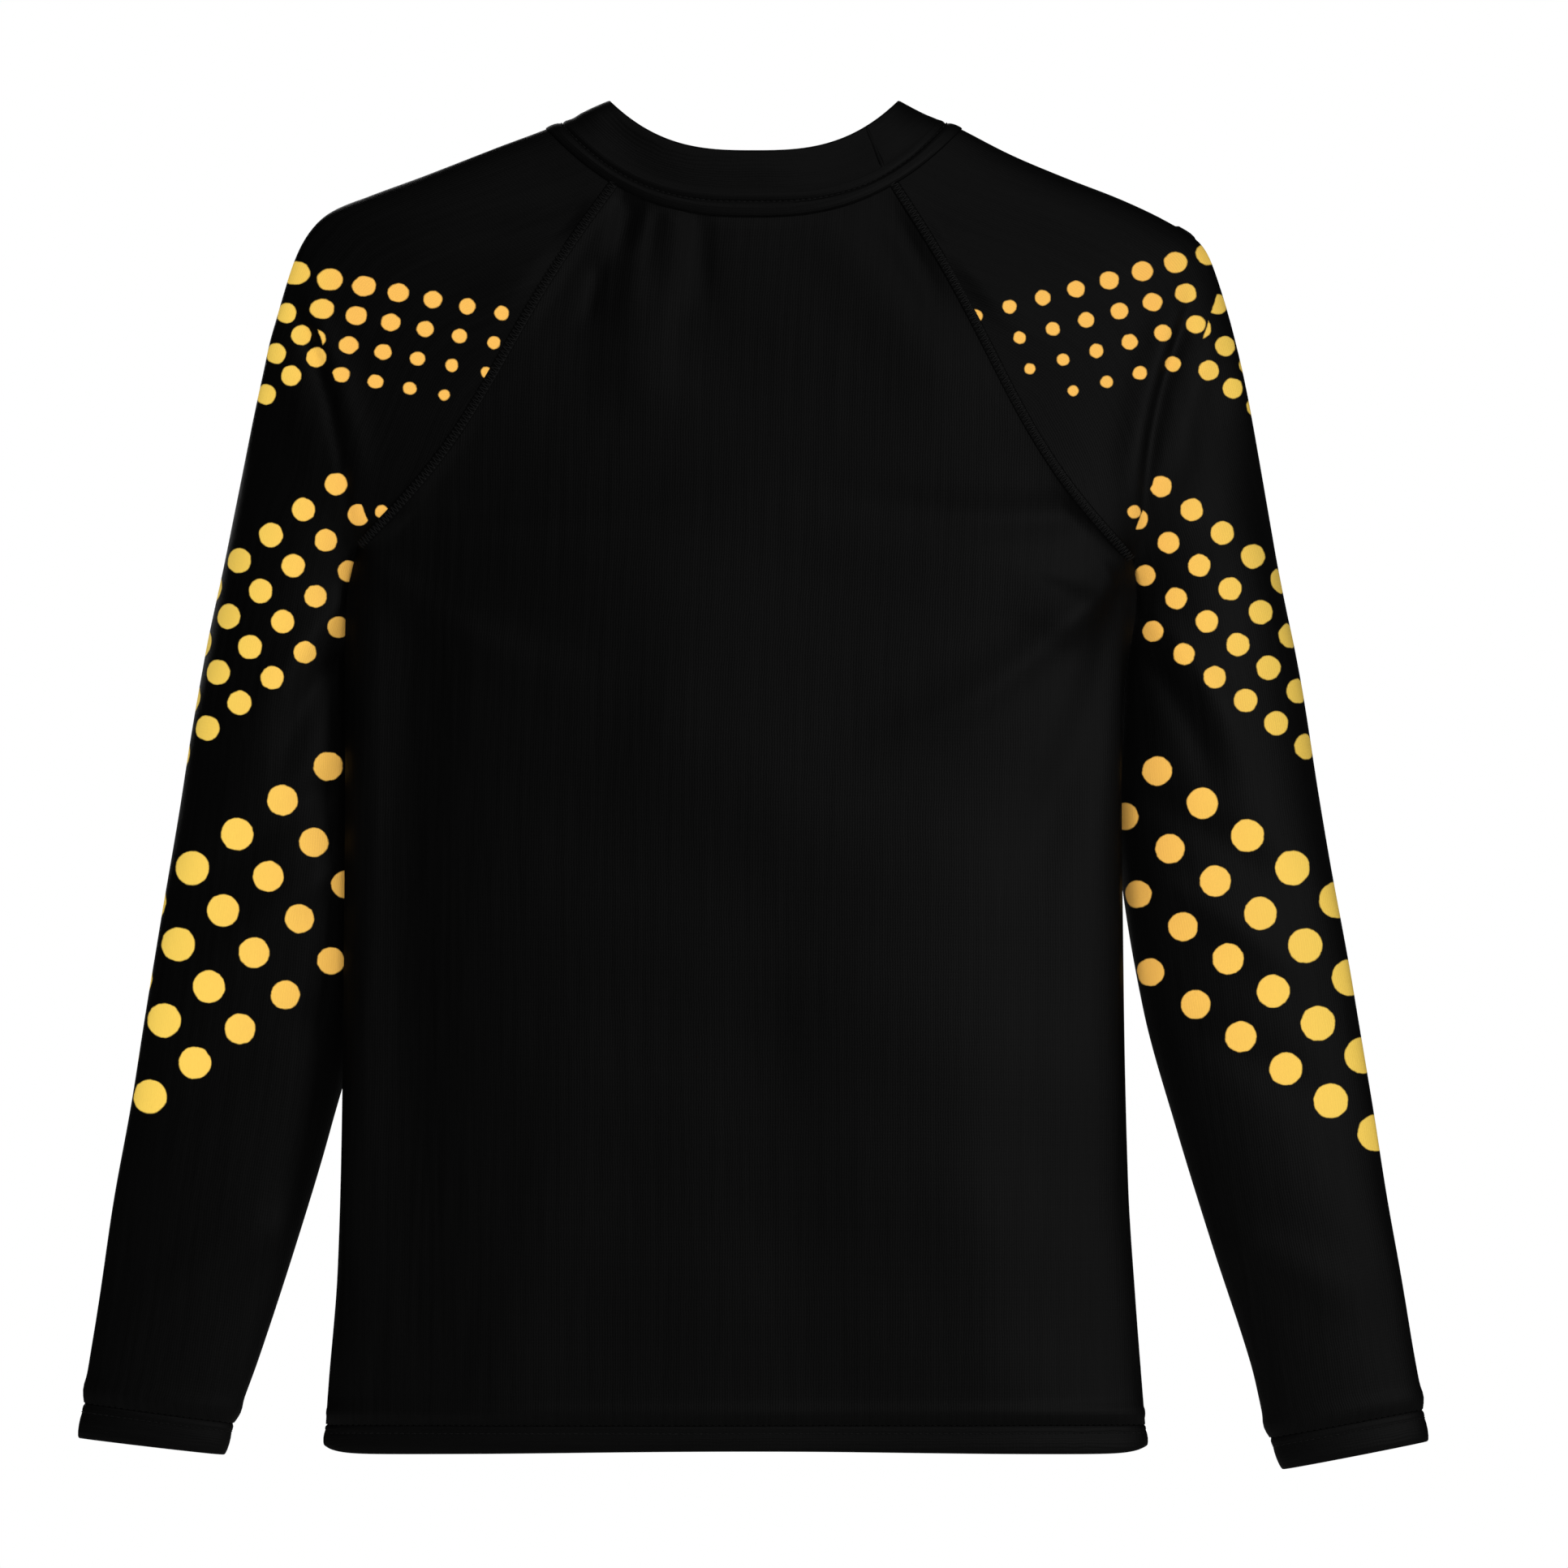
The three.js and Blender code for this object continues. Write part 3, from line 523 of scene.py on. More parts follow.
def studio():
    """A white backdrop, a soft room round the top, and four lamps."""
    world = bpy.data.worlds.new("studio")
    world.use_nodes = True
    tree = world.node_tree
    backdrop = tree.nodes["Background"]
    backdrop.inputs["Color"].default_value = (1, 1, 1, 1)
    rays = node(tree, "ShaderNodeLightPath").outputs
    shine = rays["Is Glossy Ray"]
    strength = node(tree, MATHS, shine, ROOM_SHINE - ROOM, ROOM, operation="MULTIPLY_ADD")
    room = node(tree, "ShaderNodeBackground", {"Color": (1, 1, 1, 1), "Strength": strength})
    both = node(tree, "ShaderNodeMixShader", {0: rays["Is Camera Ray"], 1: room, 2: backdrop})
    tree.links.new(both.outputs[0], tree.nodes["World Output"].inputs["Surface"])
    bpy.context.scene.world = world
    bpy.context.scene.view_settings.view_transform = "Standard"
    # gives the black its soft shine from the right, and leaves the print's colour alone
    area_light("right", (0.95, -1.1, -0.25), (0.12, 0, -0.35), 0.5, 17).visible_diffuse = False
    area_light("above", (0.3, -1.4, 1.5), (0, 0, -0.1), 0.8, 22).visible_diffuse = False
    area_light("behind", (-0.9, 2.6, 0.9), (0, 0, -0.3), 1.6, 60)
    # evens out the print's colour without putting a shine on the black
    area_light("even", (-0.3, -3.4, -0.2), (-0.05, 0, -0.4), 2.4, 88).visible_glossy = False


def floor():
    """A pale round floor below the hanging top."""
    turns = np.linspace(0, 2 * np.pi, 96, endpoint=False)
    ring = np.stack([1100 * np.cos(turns), 1100 * np.sin(turns), np.full(96, -FLOOR_DROP)], -1)
    material, tree, shader = new_material("matt white painted board")
    place = node(tree, "ShaderNodeTexCoord").outputs["Object"]
    noise = node(tree, "ShaderNodeTexNoise", {"Vector": place, "Scale": 40.0, "Detail": 2.0})
    paint = node(tree, "ShaderNodeMixRGB", {
        "Fac": noise.outputs["Fac"], "Color1": linear("#f4f4f3"), "Color2": linear("#f7f7f6"),
    })
    tree.links.new(paint.outputs[0], shader.inputs["Base Color"])
    shader.inputs["Roughness"].default_value = 0.9
    shader.inputs["Specular IOR Level"].default_value = 0.1
    mesh_piece("floor", ring, [list(range(96))], material)


camera()
studio()
floor()

# ---- Panels ----
PANEL_ROWS = (110, 60)  # hem to armpit, armpit to neck
PANEL_ACROSS = 180
PANEL_ROUNDS, SLEEVE_ROUNDS = 110, 60  # how often each cloth is relaxed
RELAX_SHARE = 0.9


def panel_grid(face):
    """Rows across the body from the hem's edge up: first from side seam to side seam, then from raglan
    seam to raglan seam, at even angles round the section, sagging at last into the neckline."""
    low = (np.linspace(0, 1, PANEL_ROWS[0]) ** 1.3)[:, None]
    high = np.linspace(0, 1, PANEL_ROWS[1] + 1)[1:, None]
    ends = {}
    for side in SIDES:
        z = mix(HEM - BODY_LENGTH, -ARMPIT_DROP[side], low)
        x_high, z_high = raglan(side, face, 1 - high)
        ends[side] = np.r_[side_seam(side, z), x_high], np.r_[z, z_high]
    dip = np.r_[low * 0, high**2] * (NECK_DROP[face] + neck_line(RAGLAN_AT_NECK[face], face))
    (xl, zl), (xr, zr) = ends["left"], ends["right"]
    reach_l = np.abs(-edge("left", zl) - centre(zl))
    reach_r = np.abs(edge("right", zr) - centre(zr))
    start = -np.arcsin(np.clip(np.abs(-xl - centre(zl)) / reach_l, 0, 1))
    stop = np.arcsin(np.clip(np.abs(xr - centre(zr)) / reach_r, 0, 1))
    t = np.linspace(0, 1, PANEL_ACROSS + 1)[None]
    angle = mix(start, stop, t)
    x = centre(mix(zl, zr, t)) + np.sin(angle) * np.where(angle < 0, reach_l, reach_r)
    x[:, 0], x[:, -1] = -xl[:, 0], xr[:, 0]
    span = np.clip(np.abs(2 * (x + xl) / (xl + xr) - 1), 0, 1)
    z = mix(zl, zr, (x + xl) / (xl + xr)) - dip * (1 - span ** NECK_POWER[face])
    return relax(on_body(x, z, face), PANEL_ROUNDS, RELAX_SHARE)


# start, end, width, height, sharp, bow: the soft folds of the back and the front
BACK_FOLDS = [
    # below the collar on the left: gathers that fan out from the seam
    ((-60, -26), (-68, -66), 8, -4.0, 1.0, 0),
    ((-56, -42), (-64, -104), 8, 2.4, 1.0, 0),
    ((-38, -34), (-49, -112), 10, 2.0, 1.0, 0),
    ((-48, -36), (-55, -74), 4.5, -1.4, 1.0, 0),
    ((-79, -72), (-86, -102), 4.5, -1.8, 1.0, 0),
    ((-28, -38), (-26, -96), 7, -1.8, 1.0, 0),
    ((-60, -84), (-48, -150), 22, 3.6, 1.2, 6),
    ((40, -52), (112, -150), 24, 2.6, 1.4, -4),
    ((70, -48), (96, -110), 8, -1.6, 1.0, -3),
    # from the armpits
    ((188, -224), (40, -330), 16, 3.4, 2.4, -10),
    ((186, -236), (120, -420), 20, -3.2, 2.2, -8),
    ((176, -196), (20, -185), 16, -3.2, 1.8, -8),
    ((160, -235), (150, -262), 20, 3.0, 1.0, 0),
    ((-197, -222), (-70, -290), 16, 2.8, 2.4, 10),
    ((-184, -200), (-20, -180), 15, -2.8, 1.8, 8),
    # down the sides, and long soft ones over the back
    ((-196, -250), (-204, -650), 9, 2.6, 1.0, 0),
    ((-174, -230), (-170, -640), 19, -5.0, 1.0, 5),
    ((178, -250), (172, -560), 24, 2.2, 1.0, -5),
    ((-130, -660), (-100, -420), 30, 2.6, 1.0, 8),
    ((40, -665), (10, -360), 34, -2.6, 1.0, -12),
    ((130, -660), (110, -430), 28, 2.4, 1.0, -6),
    ((-60, -300), (60, -330), 40, 2.4, 1.0, 10),
]
FRONT_FOLDS = [
    ((-45, -80), (-70, -210), 12, 2.0, 1.6, 4),
    ((45, -82), (75, -220), 12, 2.0, 1.6, -4),
    ((-196, -224), (-60, -330), 18, 2.6, 2.4, 10),
    ((188, -230), (70, -350), 18, 2.4, 2.4, -10),
    ((-120, -660), (-100, -400), 28, 2.0, 1.0, 10),
    ((90, -660), (70, -420), 28, -2.0, 1.0, -10),
]
FOLDS = {"back": BACK_FOLDS, "front": FRONT_FOLDS}


def above_hem(above):
    """How far the single cloth stands out by its height above the hem's needle line: it is pulled in at
    the needles and puffs just above them."""
    return 1.5 * np.exp(-(((above - 6.5) / 4) ** 2)) - 1.1 * np.exp(-((above / 1.9) ** 2))


def draped(grid, face):
    """The panel with its folds and slow unevenness, which die out at its seams."""
    x, z = grid[..., 0], grid[..., 2]
    height = sum(fold(x, z, *values) for values in FOLDS[face])
    height = height + 2.4 * waves(x, z, 3 if face == "back" else 4, 240)
    columns = np.linspace(0, 1, grid.shape[1])[None]
    from_side = smooth(np.minimum(columns, 1 - columns) / 0.05)
    rows = np.linspace(1, 0, grid.shape[0])[:, None]
    from_neck = smooth(rows / 0.014)
    hem = above_hem(z + BODY_LENGTH - HEM) * smooth(np.minimum(columns, 1 - columns) / 0.02)
    normal = normals(grid)
    normal = normal * np.sign((normal[..., 1] * FACES[face]).mean())
    return grid + normal * (height * from_side * from_neck + hem)[..., None]


def panel(face):
    """The draped grid as a sheet of cloth that stands for the panel."""
    grid = draped(panel_grid(face), face)
    facing = np.array([0, FACES[face], 0])
    piece = cloth_sheet(f"{face}_panel_cloth", grid, body_knit, PANEL_ACROSS // 2, outward=lambda g: facing)
    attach(piece, "body")
    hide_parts(f"{face}_panel")
    return grid


# ---- Sleeves ----
CAP_ROWS = 70
TUBE_ROWS = 190
AROUND = 160  # from the underarm seam round the back, the outer edge and the front

sections = {}
for side in SIDES:
    rows = np.array(SLEEVE[side], float)
    bend_rise = ARMPIT_DROP[side] - TURN_DROP
    rise = mix(rows[:, 3], bend_rise, rows[:, 4])
    keys = {"out": rows[:, 1], "width": rows[:, 2], "rise": rise, "depth": rows[:, 5], "forward": rows[:, 6]}
    sections[side] = {key: through(np.c_[rows[:, 0], values]) for key, values in keys.items()}


def tube_point(side, down, angle):
    """The sleeve's ellipse at a share of the way down: the angle runs from the underarm (0) over the
    back (90) to the outer edge (180) and round the front. It starts as the body's own section."""
    s = sections[side]
    inner_x = ARMPIT_OUT[side] + s["out"](down)
    inner_z = -ARMPIT_DROP[side] - down * UNDERARM[side]
    across = (1 - np.cos(angle)) / 2
    x = SIDES[side] * (inner_x + s["width"](down) * across)
    z = inner_z + s["rise"](down) * across
    bend_x = SIDES[side] * mix(ARMPIT_OUT[side], turn[side][0], across)
    bend_z = mix(-ARMPIT_DROP[side], -TURN_DROP, across)
    at_bend = half_depth(bend_x, bend_z) * np.sign(np.sin(angle))
    round_ = s["depth"](down) * np.sin(angle)
    y = s["forward"](down) - mix(at_bend, round_, smooth(down / 0.03))
    return np.stack(np.broadcast_arrays(x, y, z), -1)


def cap_rows(side):
    """From the back raglan seam over the shoulder to the front one, from the neck to the bend line."""
    along = np.linspace(0, 1, CAP_ROWS + 1)[:-1, None]
    half = np.sin(np.linspace(0, np.pi / 2, AROUND // 2 + 1))[None]
    top_x, top_z = shoulder[side][0](along), shoulder[side][1](along)
    halves = []
    for face in FACES:
        rx, rz = raglan(side, face, along)
        at_neck = mix(RAGLAN_AT_NECK[face], NECK_HALF, half)
        sag = neck_line(at_neck, face) - mix(neck_line(RAGLAN_AT_NECK[face], face), 0, half)
        x = mix(rx, top_x, half)
        z = mix(rz, top_z, half) + sag * (1 - along) ** 2
        halves.append(on_body(SIDES[side] * x, z, face))
    return np.concatenate([halves[0], halves[1][:, -2::-1]], 1)


def tube_rows(side):
    """Shares of the way down the underarm, closer together near the armpit, to the cuff's needles."""
    return np.linspace(0, 1, TUBE_ROWS) ** 1.15 * (1 - HEM / UNDERARM[side])


def sleeve_grid(side):
    """The whole sleeve as one sheet, cut at the underarm seam: the cap, then the tube to the cuff."""
    down = tube_rows(side)[:, None]
    angle = np.linspace(0, 2 * np.pi, AROUND + 1)[None]
    tube = tube_point(side, down, angle)
    tube[:, -1] = tube[:, 0]
    grid = np.concatenate([cap_rows(side), tube])
    near = np.exp(-(((np.arange(len(grid)) - CAP_ROWS - 6) / 22) ** 2))[:, None, None]
    soft = relax(grid, SLEEVE_ROUNDS, RELAX_SHARE, ring_rows=CAP_ROWS + 1)
    return mix(grid, soft, near), down[:, 0]


def laid_flat(grid):
    """Where each point of the sleeve is printed: its x and z as seen from behind, which run on past the
    outline at no less than 0.6 of the cloth's own length, and mirrored onto the front."""
    half = AROUND // 2
    back = grid[:, : half + 1]
    step = np.diff(back, axis=1)
    flat = step[..., [0, 2]]
    seen = np.linalg.norm(flat, axis=-1, keepdims=True)
    real = np.linalg.norm(step, axis=-1, keepdims=True)
    mid = half // 2
    chord = back[:, -1, [0, 2]] - back[:, 0, [0, 2]]
    chord = (chord / np.linalg.norm(chord, axis=-1, keepdims=True))[:, None]
    way = np.where(seen > 0.5 * real, flat / np.maximum(seen, 1e-9), chord)
    move = way * np.maximum(seen, 0.6 * real)
    run = np.concatenate([np.zeros((len(grid), 1, 2)), np.cumsum(move, axis=1)], 1)
    places = back[:, mid : mid + 1, [0, 2]] + run - run[:, mid : mid + 1]
    full = np.concatenate([places, places[:, -2::-1]], 1)
    return np.concatenate([full, np.zeros((*full.shape[:2], 1))], -1)


# start, end, width, height, sharp, bow: soft folds of each sleeve, seen from behind, left side
SLEEVE_FOLDS = {
    "left": [
        ((-233, -94), (-206, -212), 3.6, -3.2, 1.0, -6),
        ((-226, -92), (-198, -205), 8, 2.8, 1.0, -5),
        ((-243, -105), (-222, -210), 9, 2.2, 1.0, -5),
        ((-78, -50), (-168, -60), 9, -2.6, 0.7, 4),
        ((-84, -64), (-150, -92), 10, 2.0, 0.8, 0),
        ((-206, -236), (-262, -320), 11, 3.0, 1.5, 6),
        ((-206, -262), (-248, -350), 10, -2.6, 1.5, 6),
        ((-204, -330), (-290, -396), 13, -2.8, 1.4, 4),
        ((-205, -372), (-285, -434), 13, 2.8, 1.4, 4),
        ((-215, -452), (-300, -500), 14, -2.0, 1.2, 4),
        ((-240, -560), (-318, -604), 14, 2.0, 1.2, 2),
    ],
    "right": [
        ((222, -94), (199, -214), 3.6, -3.2, 1.0, 6),
        ((214, -92), (190, -206), 8, 2.6, 1.0, 5),
        ((234, -100), (214, -210), 9, 2.2, 1.0, 5),
        ((84, -56), (176, -62), 10, -2.2, 0.7, -4),
        ((92, -72), (150, -100), 11, 1.8, 0.8, 0),
        ((198, -244), (250, -325), 11, 3.0, 1.5, -6),
        ((198, -268), (240, -352), 10, -2.6, 1.5, -6),
        ((195, -338), (285, -402), 13, -2.8, 1.4, -4),
        ((200, -382), (288, -442), 13, 2.8, 1.4, -4),
        ((212, -455), (300, -505), 14, -2.0, 1.2, -4),
        ((245, -568), (318, -606), 14, 2.0, 1.2, -2),
    ],
}


def dressed(grid, side):
    """The sleeve with its folds, the cuff's hem and slow unevenness."""
    x, z = grid[..., 0], grid[..., 2]
    height = sum(fold(x, z, *values) for values in SLEEVE_FOLDS[side])
    height = height + 1.5 * waves(x, grid[..., 1] * 2 + z, 11 if side == "left" else 12, 170)
    angle = np.linspace(0, 2 * np.pi, AROUND + 1)[None]
    from_seam = smooth(np.minimum(angle, 2 * np.pi - angle) / 0.3)
    from_edge = smooth(np.abs(angle - np.pi) / 0.35)
    rows = np.arange(len(grid))[:, None]
    from_neck = smooth(rows / 8)
    to_cuff = np.r_[np.full(CAP_ROWS, 1e3), (1 - tube_rows(side)) * UNDERARM[side] - HEM]
    cuff = above_hem(to_cuff[:, None]) * 0.6
    normal = outward_normals(grid, side)
    fade = from_seam * mix(0.35, 1, from_edge) * from_neck * smooth(to_cuff[:, None] / 40)
    return grid + normal * (height * fade + cuff)[..., None]


def outward_normals(grid, side):
    """The grid's normals, turned to point out of the sleeve."""
    normal = normals(grid)
    if normal[CAP_ROWS + 40, AROUND // 4, 1] > 0:
        normal = -normal
    return normal


# ---- Printed dots ----
# Lattices of dots: the first dot's place, the steps across and down, the number of rows, the first and
# last columns of the top row, how these change from row to row, the first column that shows in any row,
# the radius with its change by column and by row, how much wider than high the first dots are, and
# which side of the sleeve head's crease the lattice stays on (1 towards the neck).
def lattice(at, across, down, rows, first, last, radius, first_by=0, last_by=0, least=-1, by_column=0,
            by_row=0, wide=0, crease=None):
    """One lattice of the print, by the values listed above."""
    return dict(at=at, across=across, down=down, rows=rows, first=first, last=last, radius=radius,
                first_by=first_by, last_by=last_by, least=least, by_column=by_column, by_row=by_row,
                wide=wide, crease=crease)


# The creases that the print is folded into, at the sleeve's head and by the armpit: a point on each, and
# how far it runs inwards over 10 mm down.
HEAD_CREASE = {"left": (-222.5, -103.5, 3.4), "right": (231, -103, -3.2)}
ARMPIT_CREASE = {"left": (-198.4, -197.6, 4), "right": (197, -200, -3.6)}
PRINT = {
    "left": [
        lattice((-216.6, -77.6), (17.6, -3.5), (-3.9, -15.1), 4, -1, 6.6, 5.5, first_by=2 / 3, last_by=-0.75,
                by_column=-0.38, by_row=-0.42, wide=0.2,
                crease=HEAD_CREASE["left"] + (1,)),
        lattice((-239, -94.6), (7.8, -11.4), (-5.2, -20.8), 3, 0, 2, 5.1, last_by=-1, least=0,
                crease=HEAD_CREASE["left"] + (-1,)),
        lattice((-213.3, -182.2), (-16.8, -12.9), (-5.4, -28.6), 4, 0, 4, 5.6, first_by=-1, by_column=0.24,
                crease=ARMPIT_CREASE["left"] + (-1,)),
        lattice((-217.9, -326.2), (-23.2, -17.4), (-7.3, -39), 4, 0, 5, 7.3, first_by=-1, by_column=0.44),
        lattice((-190, -196.3), (30, 0), (0, 30), 1, 0, 0, 3.3),
    ],
    "right": [
        lattice((215.4, -68.9), (-17, -4.6), (5.2, -15.8), 4, -1, 6.3, 5.3, first_by=2 / 3, last_by=-2 / 3,
                by_column=-0.36, by_row=-0.4, wide=0.1,
                crease=HEAD_CREASE["right"] + (1,)),
        lattice((236.9, -90.1), (12.4, -9), (3.9, -21.5), 3, 0, 0, 5.1, first_by=-1, last_by=1,
                crease=HEAD_CREASE["right"] + (-1,)),
        lattice((207.9, -183.4), (15.8, -11.8), (4, -28.5), 4, 0, 4, 5.4, first_by=-1, by_column=0.24,
                crease=ARMPIT_CREASE["right"] + (-1,)),
        lattice((206.3, -328.7), (23.1, -16.5), (6.6, -39.8), 4, 0, 4, 7.4, first_by=-1, by_column=0.46),
        lattice((194.2, -196.3), (30, 0), (0, 30), 1, 0, 0, 3.3),
    ],
}
PRINT_SOFT = 0.35  # the ink's edge, mm
ORANGE_TO = 205  # how far out the print is at its most orange
YELLOW_BEYOND = (29, -0.24)  # how much further out it is at its yellowest, and by how much more per mm of z
CREASE_TOP = -98
WIDE_COLUMNS = 5  # the dots are round again after this many columns
INK_HEIGHT = 0.6  # beside the wales'
PRINT_WOBBLE = 1.2  # mm, how uneven the ink's edge is


def dots(tree, x, z, side, rule):
    """How far inside the nearest dot of a lattice each point is: the point's place in steps of the
    lattice, rounded and held to the lattice's rows and columns, gives the nearest dot's middle."""
    (ox, oz), (ux, uz), (vx, vz) = rule["at"], rule["across"], rule["down"]
    area = ux * vz - uz * vx
    px = node(tree, MATHS, x, ox, operation="SUBTRACT")
    pz = node(tree, MATHS, z, oz, operation="SUBTRACT")

    def combined(a, share_a, b, share_b):
        """Each times its share, added."""
        part_a = node(tree, MATHS, a, share_a, operation="MULTIPLY")
        part_b = node(tree, MATHS, b, share_b, operation="MULTIPLY")
        return node(tree, MATHS, part_a, part_b, operation="ADD")

    def held(value, low, high):
        """The nearest whole number to the value, kept from low to high."""
        whole = node(tree, MATHS, value, operation="ROUND")
        risen = node(tree, MATHS, whole, low, operation="MAXIMUM")
        return node(tree, MATHS, risen, high, operation="MINIMUM")

    def row_end(top, change):
        """The first or last column of row j."""
        column = node(tree, MATHS, j, change, top, operation="MULTIPLY_ADD")
        return node(tree, MATHS, column, operation="ROUND")

    j = held(combined(px, -uz / area, pz, ux / area), 0, rule["rows"] - 1)
    low = node(tree, MATHS, row_end(rule["first"], rule["first_by"]), rule["least"], operation="MAXIMUM")
    high = row_end(rule["last"], rule["last_by"])
    i = held(combined(px, vz / area, pz, -vx / area), low, high)
    dx = node(tree, MATHS, px, combined(i, ux, j, vx), operation="SUBTRACT")
    dz = node(tree, MATHS, pz, combined(i, uz, j, vz), operation="SUBTRACT")
    if rule["wide"]:
        narrowing = node(tree, MATHS, i, -1 / WIDE_COLUMNS, 1, operation="MULTIPLY_ADD")
        narrowing = node(tree, MATHS, narrowing, 0, operation="MAXIMUM")
        wider = node(tree, MATHS, narrowing, rule["wide"], 1, operation="MULTIPLY_ADD")
        dx = node(tree, MATHS, dx, wider, operation="DIVIDE")
    squares = [node(tree, MATHS, d, 2, operation="POWER") for d in (dx, dz)]
    away = node(tree, MATHS, node(tree, MATHS, *squares, operation="ADD"), operation="SQRT")
    change = combined(i, rule["by_column"], j, rule["by_row"])
    radius = node(tree, MATHS, change, rule["radius"], operation="ADD")
    inside = node(tree, MATHS, radius, away, operation="SUBTRACT")
    if rule["crease"]:
        cx, cz, lean, towards = rule["crease"]
        below = node(tree, MATHS, z, cz, operation="SUBTRACT")
        line = node(tree, MATHS, below, -lean / 10, cx, operation="MULTIPLY_ADD")
        beyond = node(tree, MATHS, x, line, operation="SUBTRACT")
        past = node(tree, MATHS, beyond, -SIDES[side] * towards, operation="MULTIPLY")
        if towards > 0:
            above = node(tree, MATHS, z, CREASE_TOP, operation="SUBTRACT")
            past = node(tree, MATHS, past, above, operation="MAXIMUM")
        inside = node(tree, MATHS, inside, past, operation="MINIMUM")
    return inside


def printed_knit(side):
    """The sleeve's jersey with its screen-printed gold dots, orange near the body, yellower outward."""
    material, tree, shader = new_material(f"{side} sleeve jersey, black with printed gold dots")
    height, cloth = knit_height(tree)
    black = colour_socket(tree, cloth, "#020202", "#040404")
    place = node(tree, "ShaderNodeAttribute", attribute_name="print").outputs["Vector"]
    split = node(tree, "ShaderNodeSeparateXYZ", {"Vector": place})
    x, z = split.outputs["X"], split.outputs["Y"]
    wobble = node(tree, "ShaderNodeTexNoise", {"Vector": place, "Scale": 0.25, "Detail": 2.0}).outputs["Fac"]
    inside = None
    for rule in PRINT[side]:
        found = dots(tree, x, z, side, rule)
        inside = found if inside is None else node(tree, MATHS, inside, found, operation="MAXIMUM")
    uneven = node(tree, MATHS, wobble, PRINT_WOBBLE, -PRINT_WOBBLE / 2, operation="MULTIPLY_ADD")
    inside = node(tree, MATHS, inside, uneven, operation="ADD")
    ink = node(tree, "ShaderNodeMapRange", {
        "Value": inside, "From Min": -PRINT_SOFT, "From Max": PRINT_SOFT,
    })
    # orange near the body, yellow towards the sleeve's outer edge, which lies further out lower down
    at_top, by_height = YELLOW_BEYOND
    reach = node(tree, MATHS, z, by_height, at_top, operation="MULTIPLY_ADD")
    outward = node(tree, MATHS, node(tree, MATHS, x, operation="ABSOLUTE"), ORANGE_TO, operation="SUBTRACT")
    outer = node(tree, MATHS, outward, reach, operation="DIVIDE")
    gold_share = node(tree, "ShaderNodeMapRange", {"Value": outer})
    gold = node(tree, "ShaderNodeMixRGB", {
        "Fac": gold_share, "Color1": linear("#f2b857"), "Color2": linear("#f3d35a"),
    }).outputs[0]
    both = node(tree, "ShaderNodeMixRGB", {"Fac": ink, "Color1": black, "Color2": gold})
    tree.links.new(both.outputs[0], shader.inputs["Base Color"])
    raised = node(tree, MATHS, ink, INK_HEIGHT, height, operation="MULTIPLY_ADD")
    finish_knit(tree, shader, raised)
    return material


def sleeve(side):
    """The sleeve cut at SPLIT_AT into an upper sheet, with the cap, and a lower one."""
    grid, down = sleeve_grid(side)
    grid = dressed(grid, side)
    printed = laid_flat(grid)
    split = CAP_ROWS + int(np.searchsorted(down, SPLIT_AT))
    material = printed_knit(side)
    across = AROUND // 2
    pieces = {"upper": slice(0, split + 1), "lower": slice(split, None)}
    made = {}
    for part, rows in pieces.items():
        made[part] = cloth_sheet(
            f"{side}_{part}_sleeve_cloth", grid[rows], material, across, [("print", printed[rows])],
            outward=lambda g: outward_of_sleeve(g),
        )
    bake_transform(made["upper"])
    bend_at_elbow(made["lower"], side)
    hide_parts(f"{side}_sleeve_cap", f"{side}_sleeve_upper")
    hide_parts(f"{side}_sleeve_lower")
    return grid


def bend_at_elbow(piece, side):
    """Bakes the piece's transform into its mesh. It works out the elbow's middle and the way along the sleeve
    there, scaled to ELBOW_BEND, but uses neither, so the cloth does not turn at the elbow.
    """
    elbow = tube_middle(side, ELBOW_AT)
    way = tube_middle(side, ELBOW_AT + 0.05) - tube_middle(side, ELBOW_AT - 0.05)
    way *= ELBOW_BEND / np.linalg.norm(way)
    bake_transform(piece)


def tube_middle(side, down):
    """Half-way between the underarm and the outer edge."""
    return (tube_point(side, down, 0.0) + tube_point(side, down, np.pi)) / 2


def outward_of_sleeve(grid):
    """From each row's middle to its points."""
    middle = (grid[:, :1] + grid[:, AROUND // 2 : AROUND // 2 + 1]) / 2
    return grid - middle


panels = {face: panel(face) for face in FACES}
sleeves = {side: sleeve(side) for side in SIDES}

# ---- Turned-up hem and cuffs ----
# Round the doubled edge in (outwards, down) mm from the needle line: down the outer ply, round the
# fold, and up the turned ply to just above the needles.
TURNED_EDGE = np.array([
    (-1.0, 0), (-0.5, 0.7), (0.1, 1.8), (0.25, 3.4), (0.05, 4.4), (0.25, 5.4), (0.6, 7.5), (0.8, 10.5),
    (0.7, 13.5), (0.4, 15.4), (0, 16.2), (-0.6, 16.5), (-1.2, 16.1), (-1.7, 15), (-2.1, 12), (-2.2, 7),
    (-2.2, 2), (-2.1, -0.6), (-1.9, -1), (-1.7, -0.6), (-1.5, 0),
])
# How far below the hem's upper line each needle row lies, and how far out of the ring of points
NEEDLES = ((0.1, -0.9), (4.4, -0.1))
HEM_SHORT = 1.2  # the doubled edge is this much narrower than its allowance
HEM_RISE = ((120, 1.8), (7, 4))  # the edge rises this much over the middle, and at the side seams


def ring_frame(ring, down):
    """Unit vectors at each point of a closed ring: down its piece, and outwards from its middle."""
    along = np.roll(ring, -1, axis=0) - np.roll(ring, 1, axis=0)
    down = down / np.linalg.norm(down, axis=-1, keepdims=True)
    out = np.cross(along, down)
    out /= np.maximum(np.linalg.norm(out, axis=-1, keepdims=True), 1e-9)
    return out * np.sign((out * (ring - ring.mean(0))).sum())


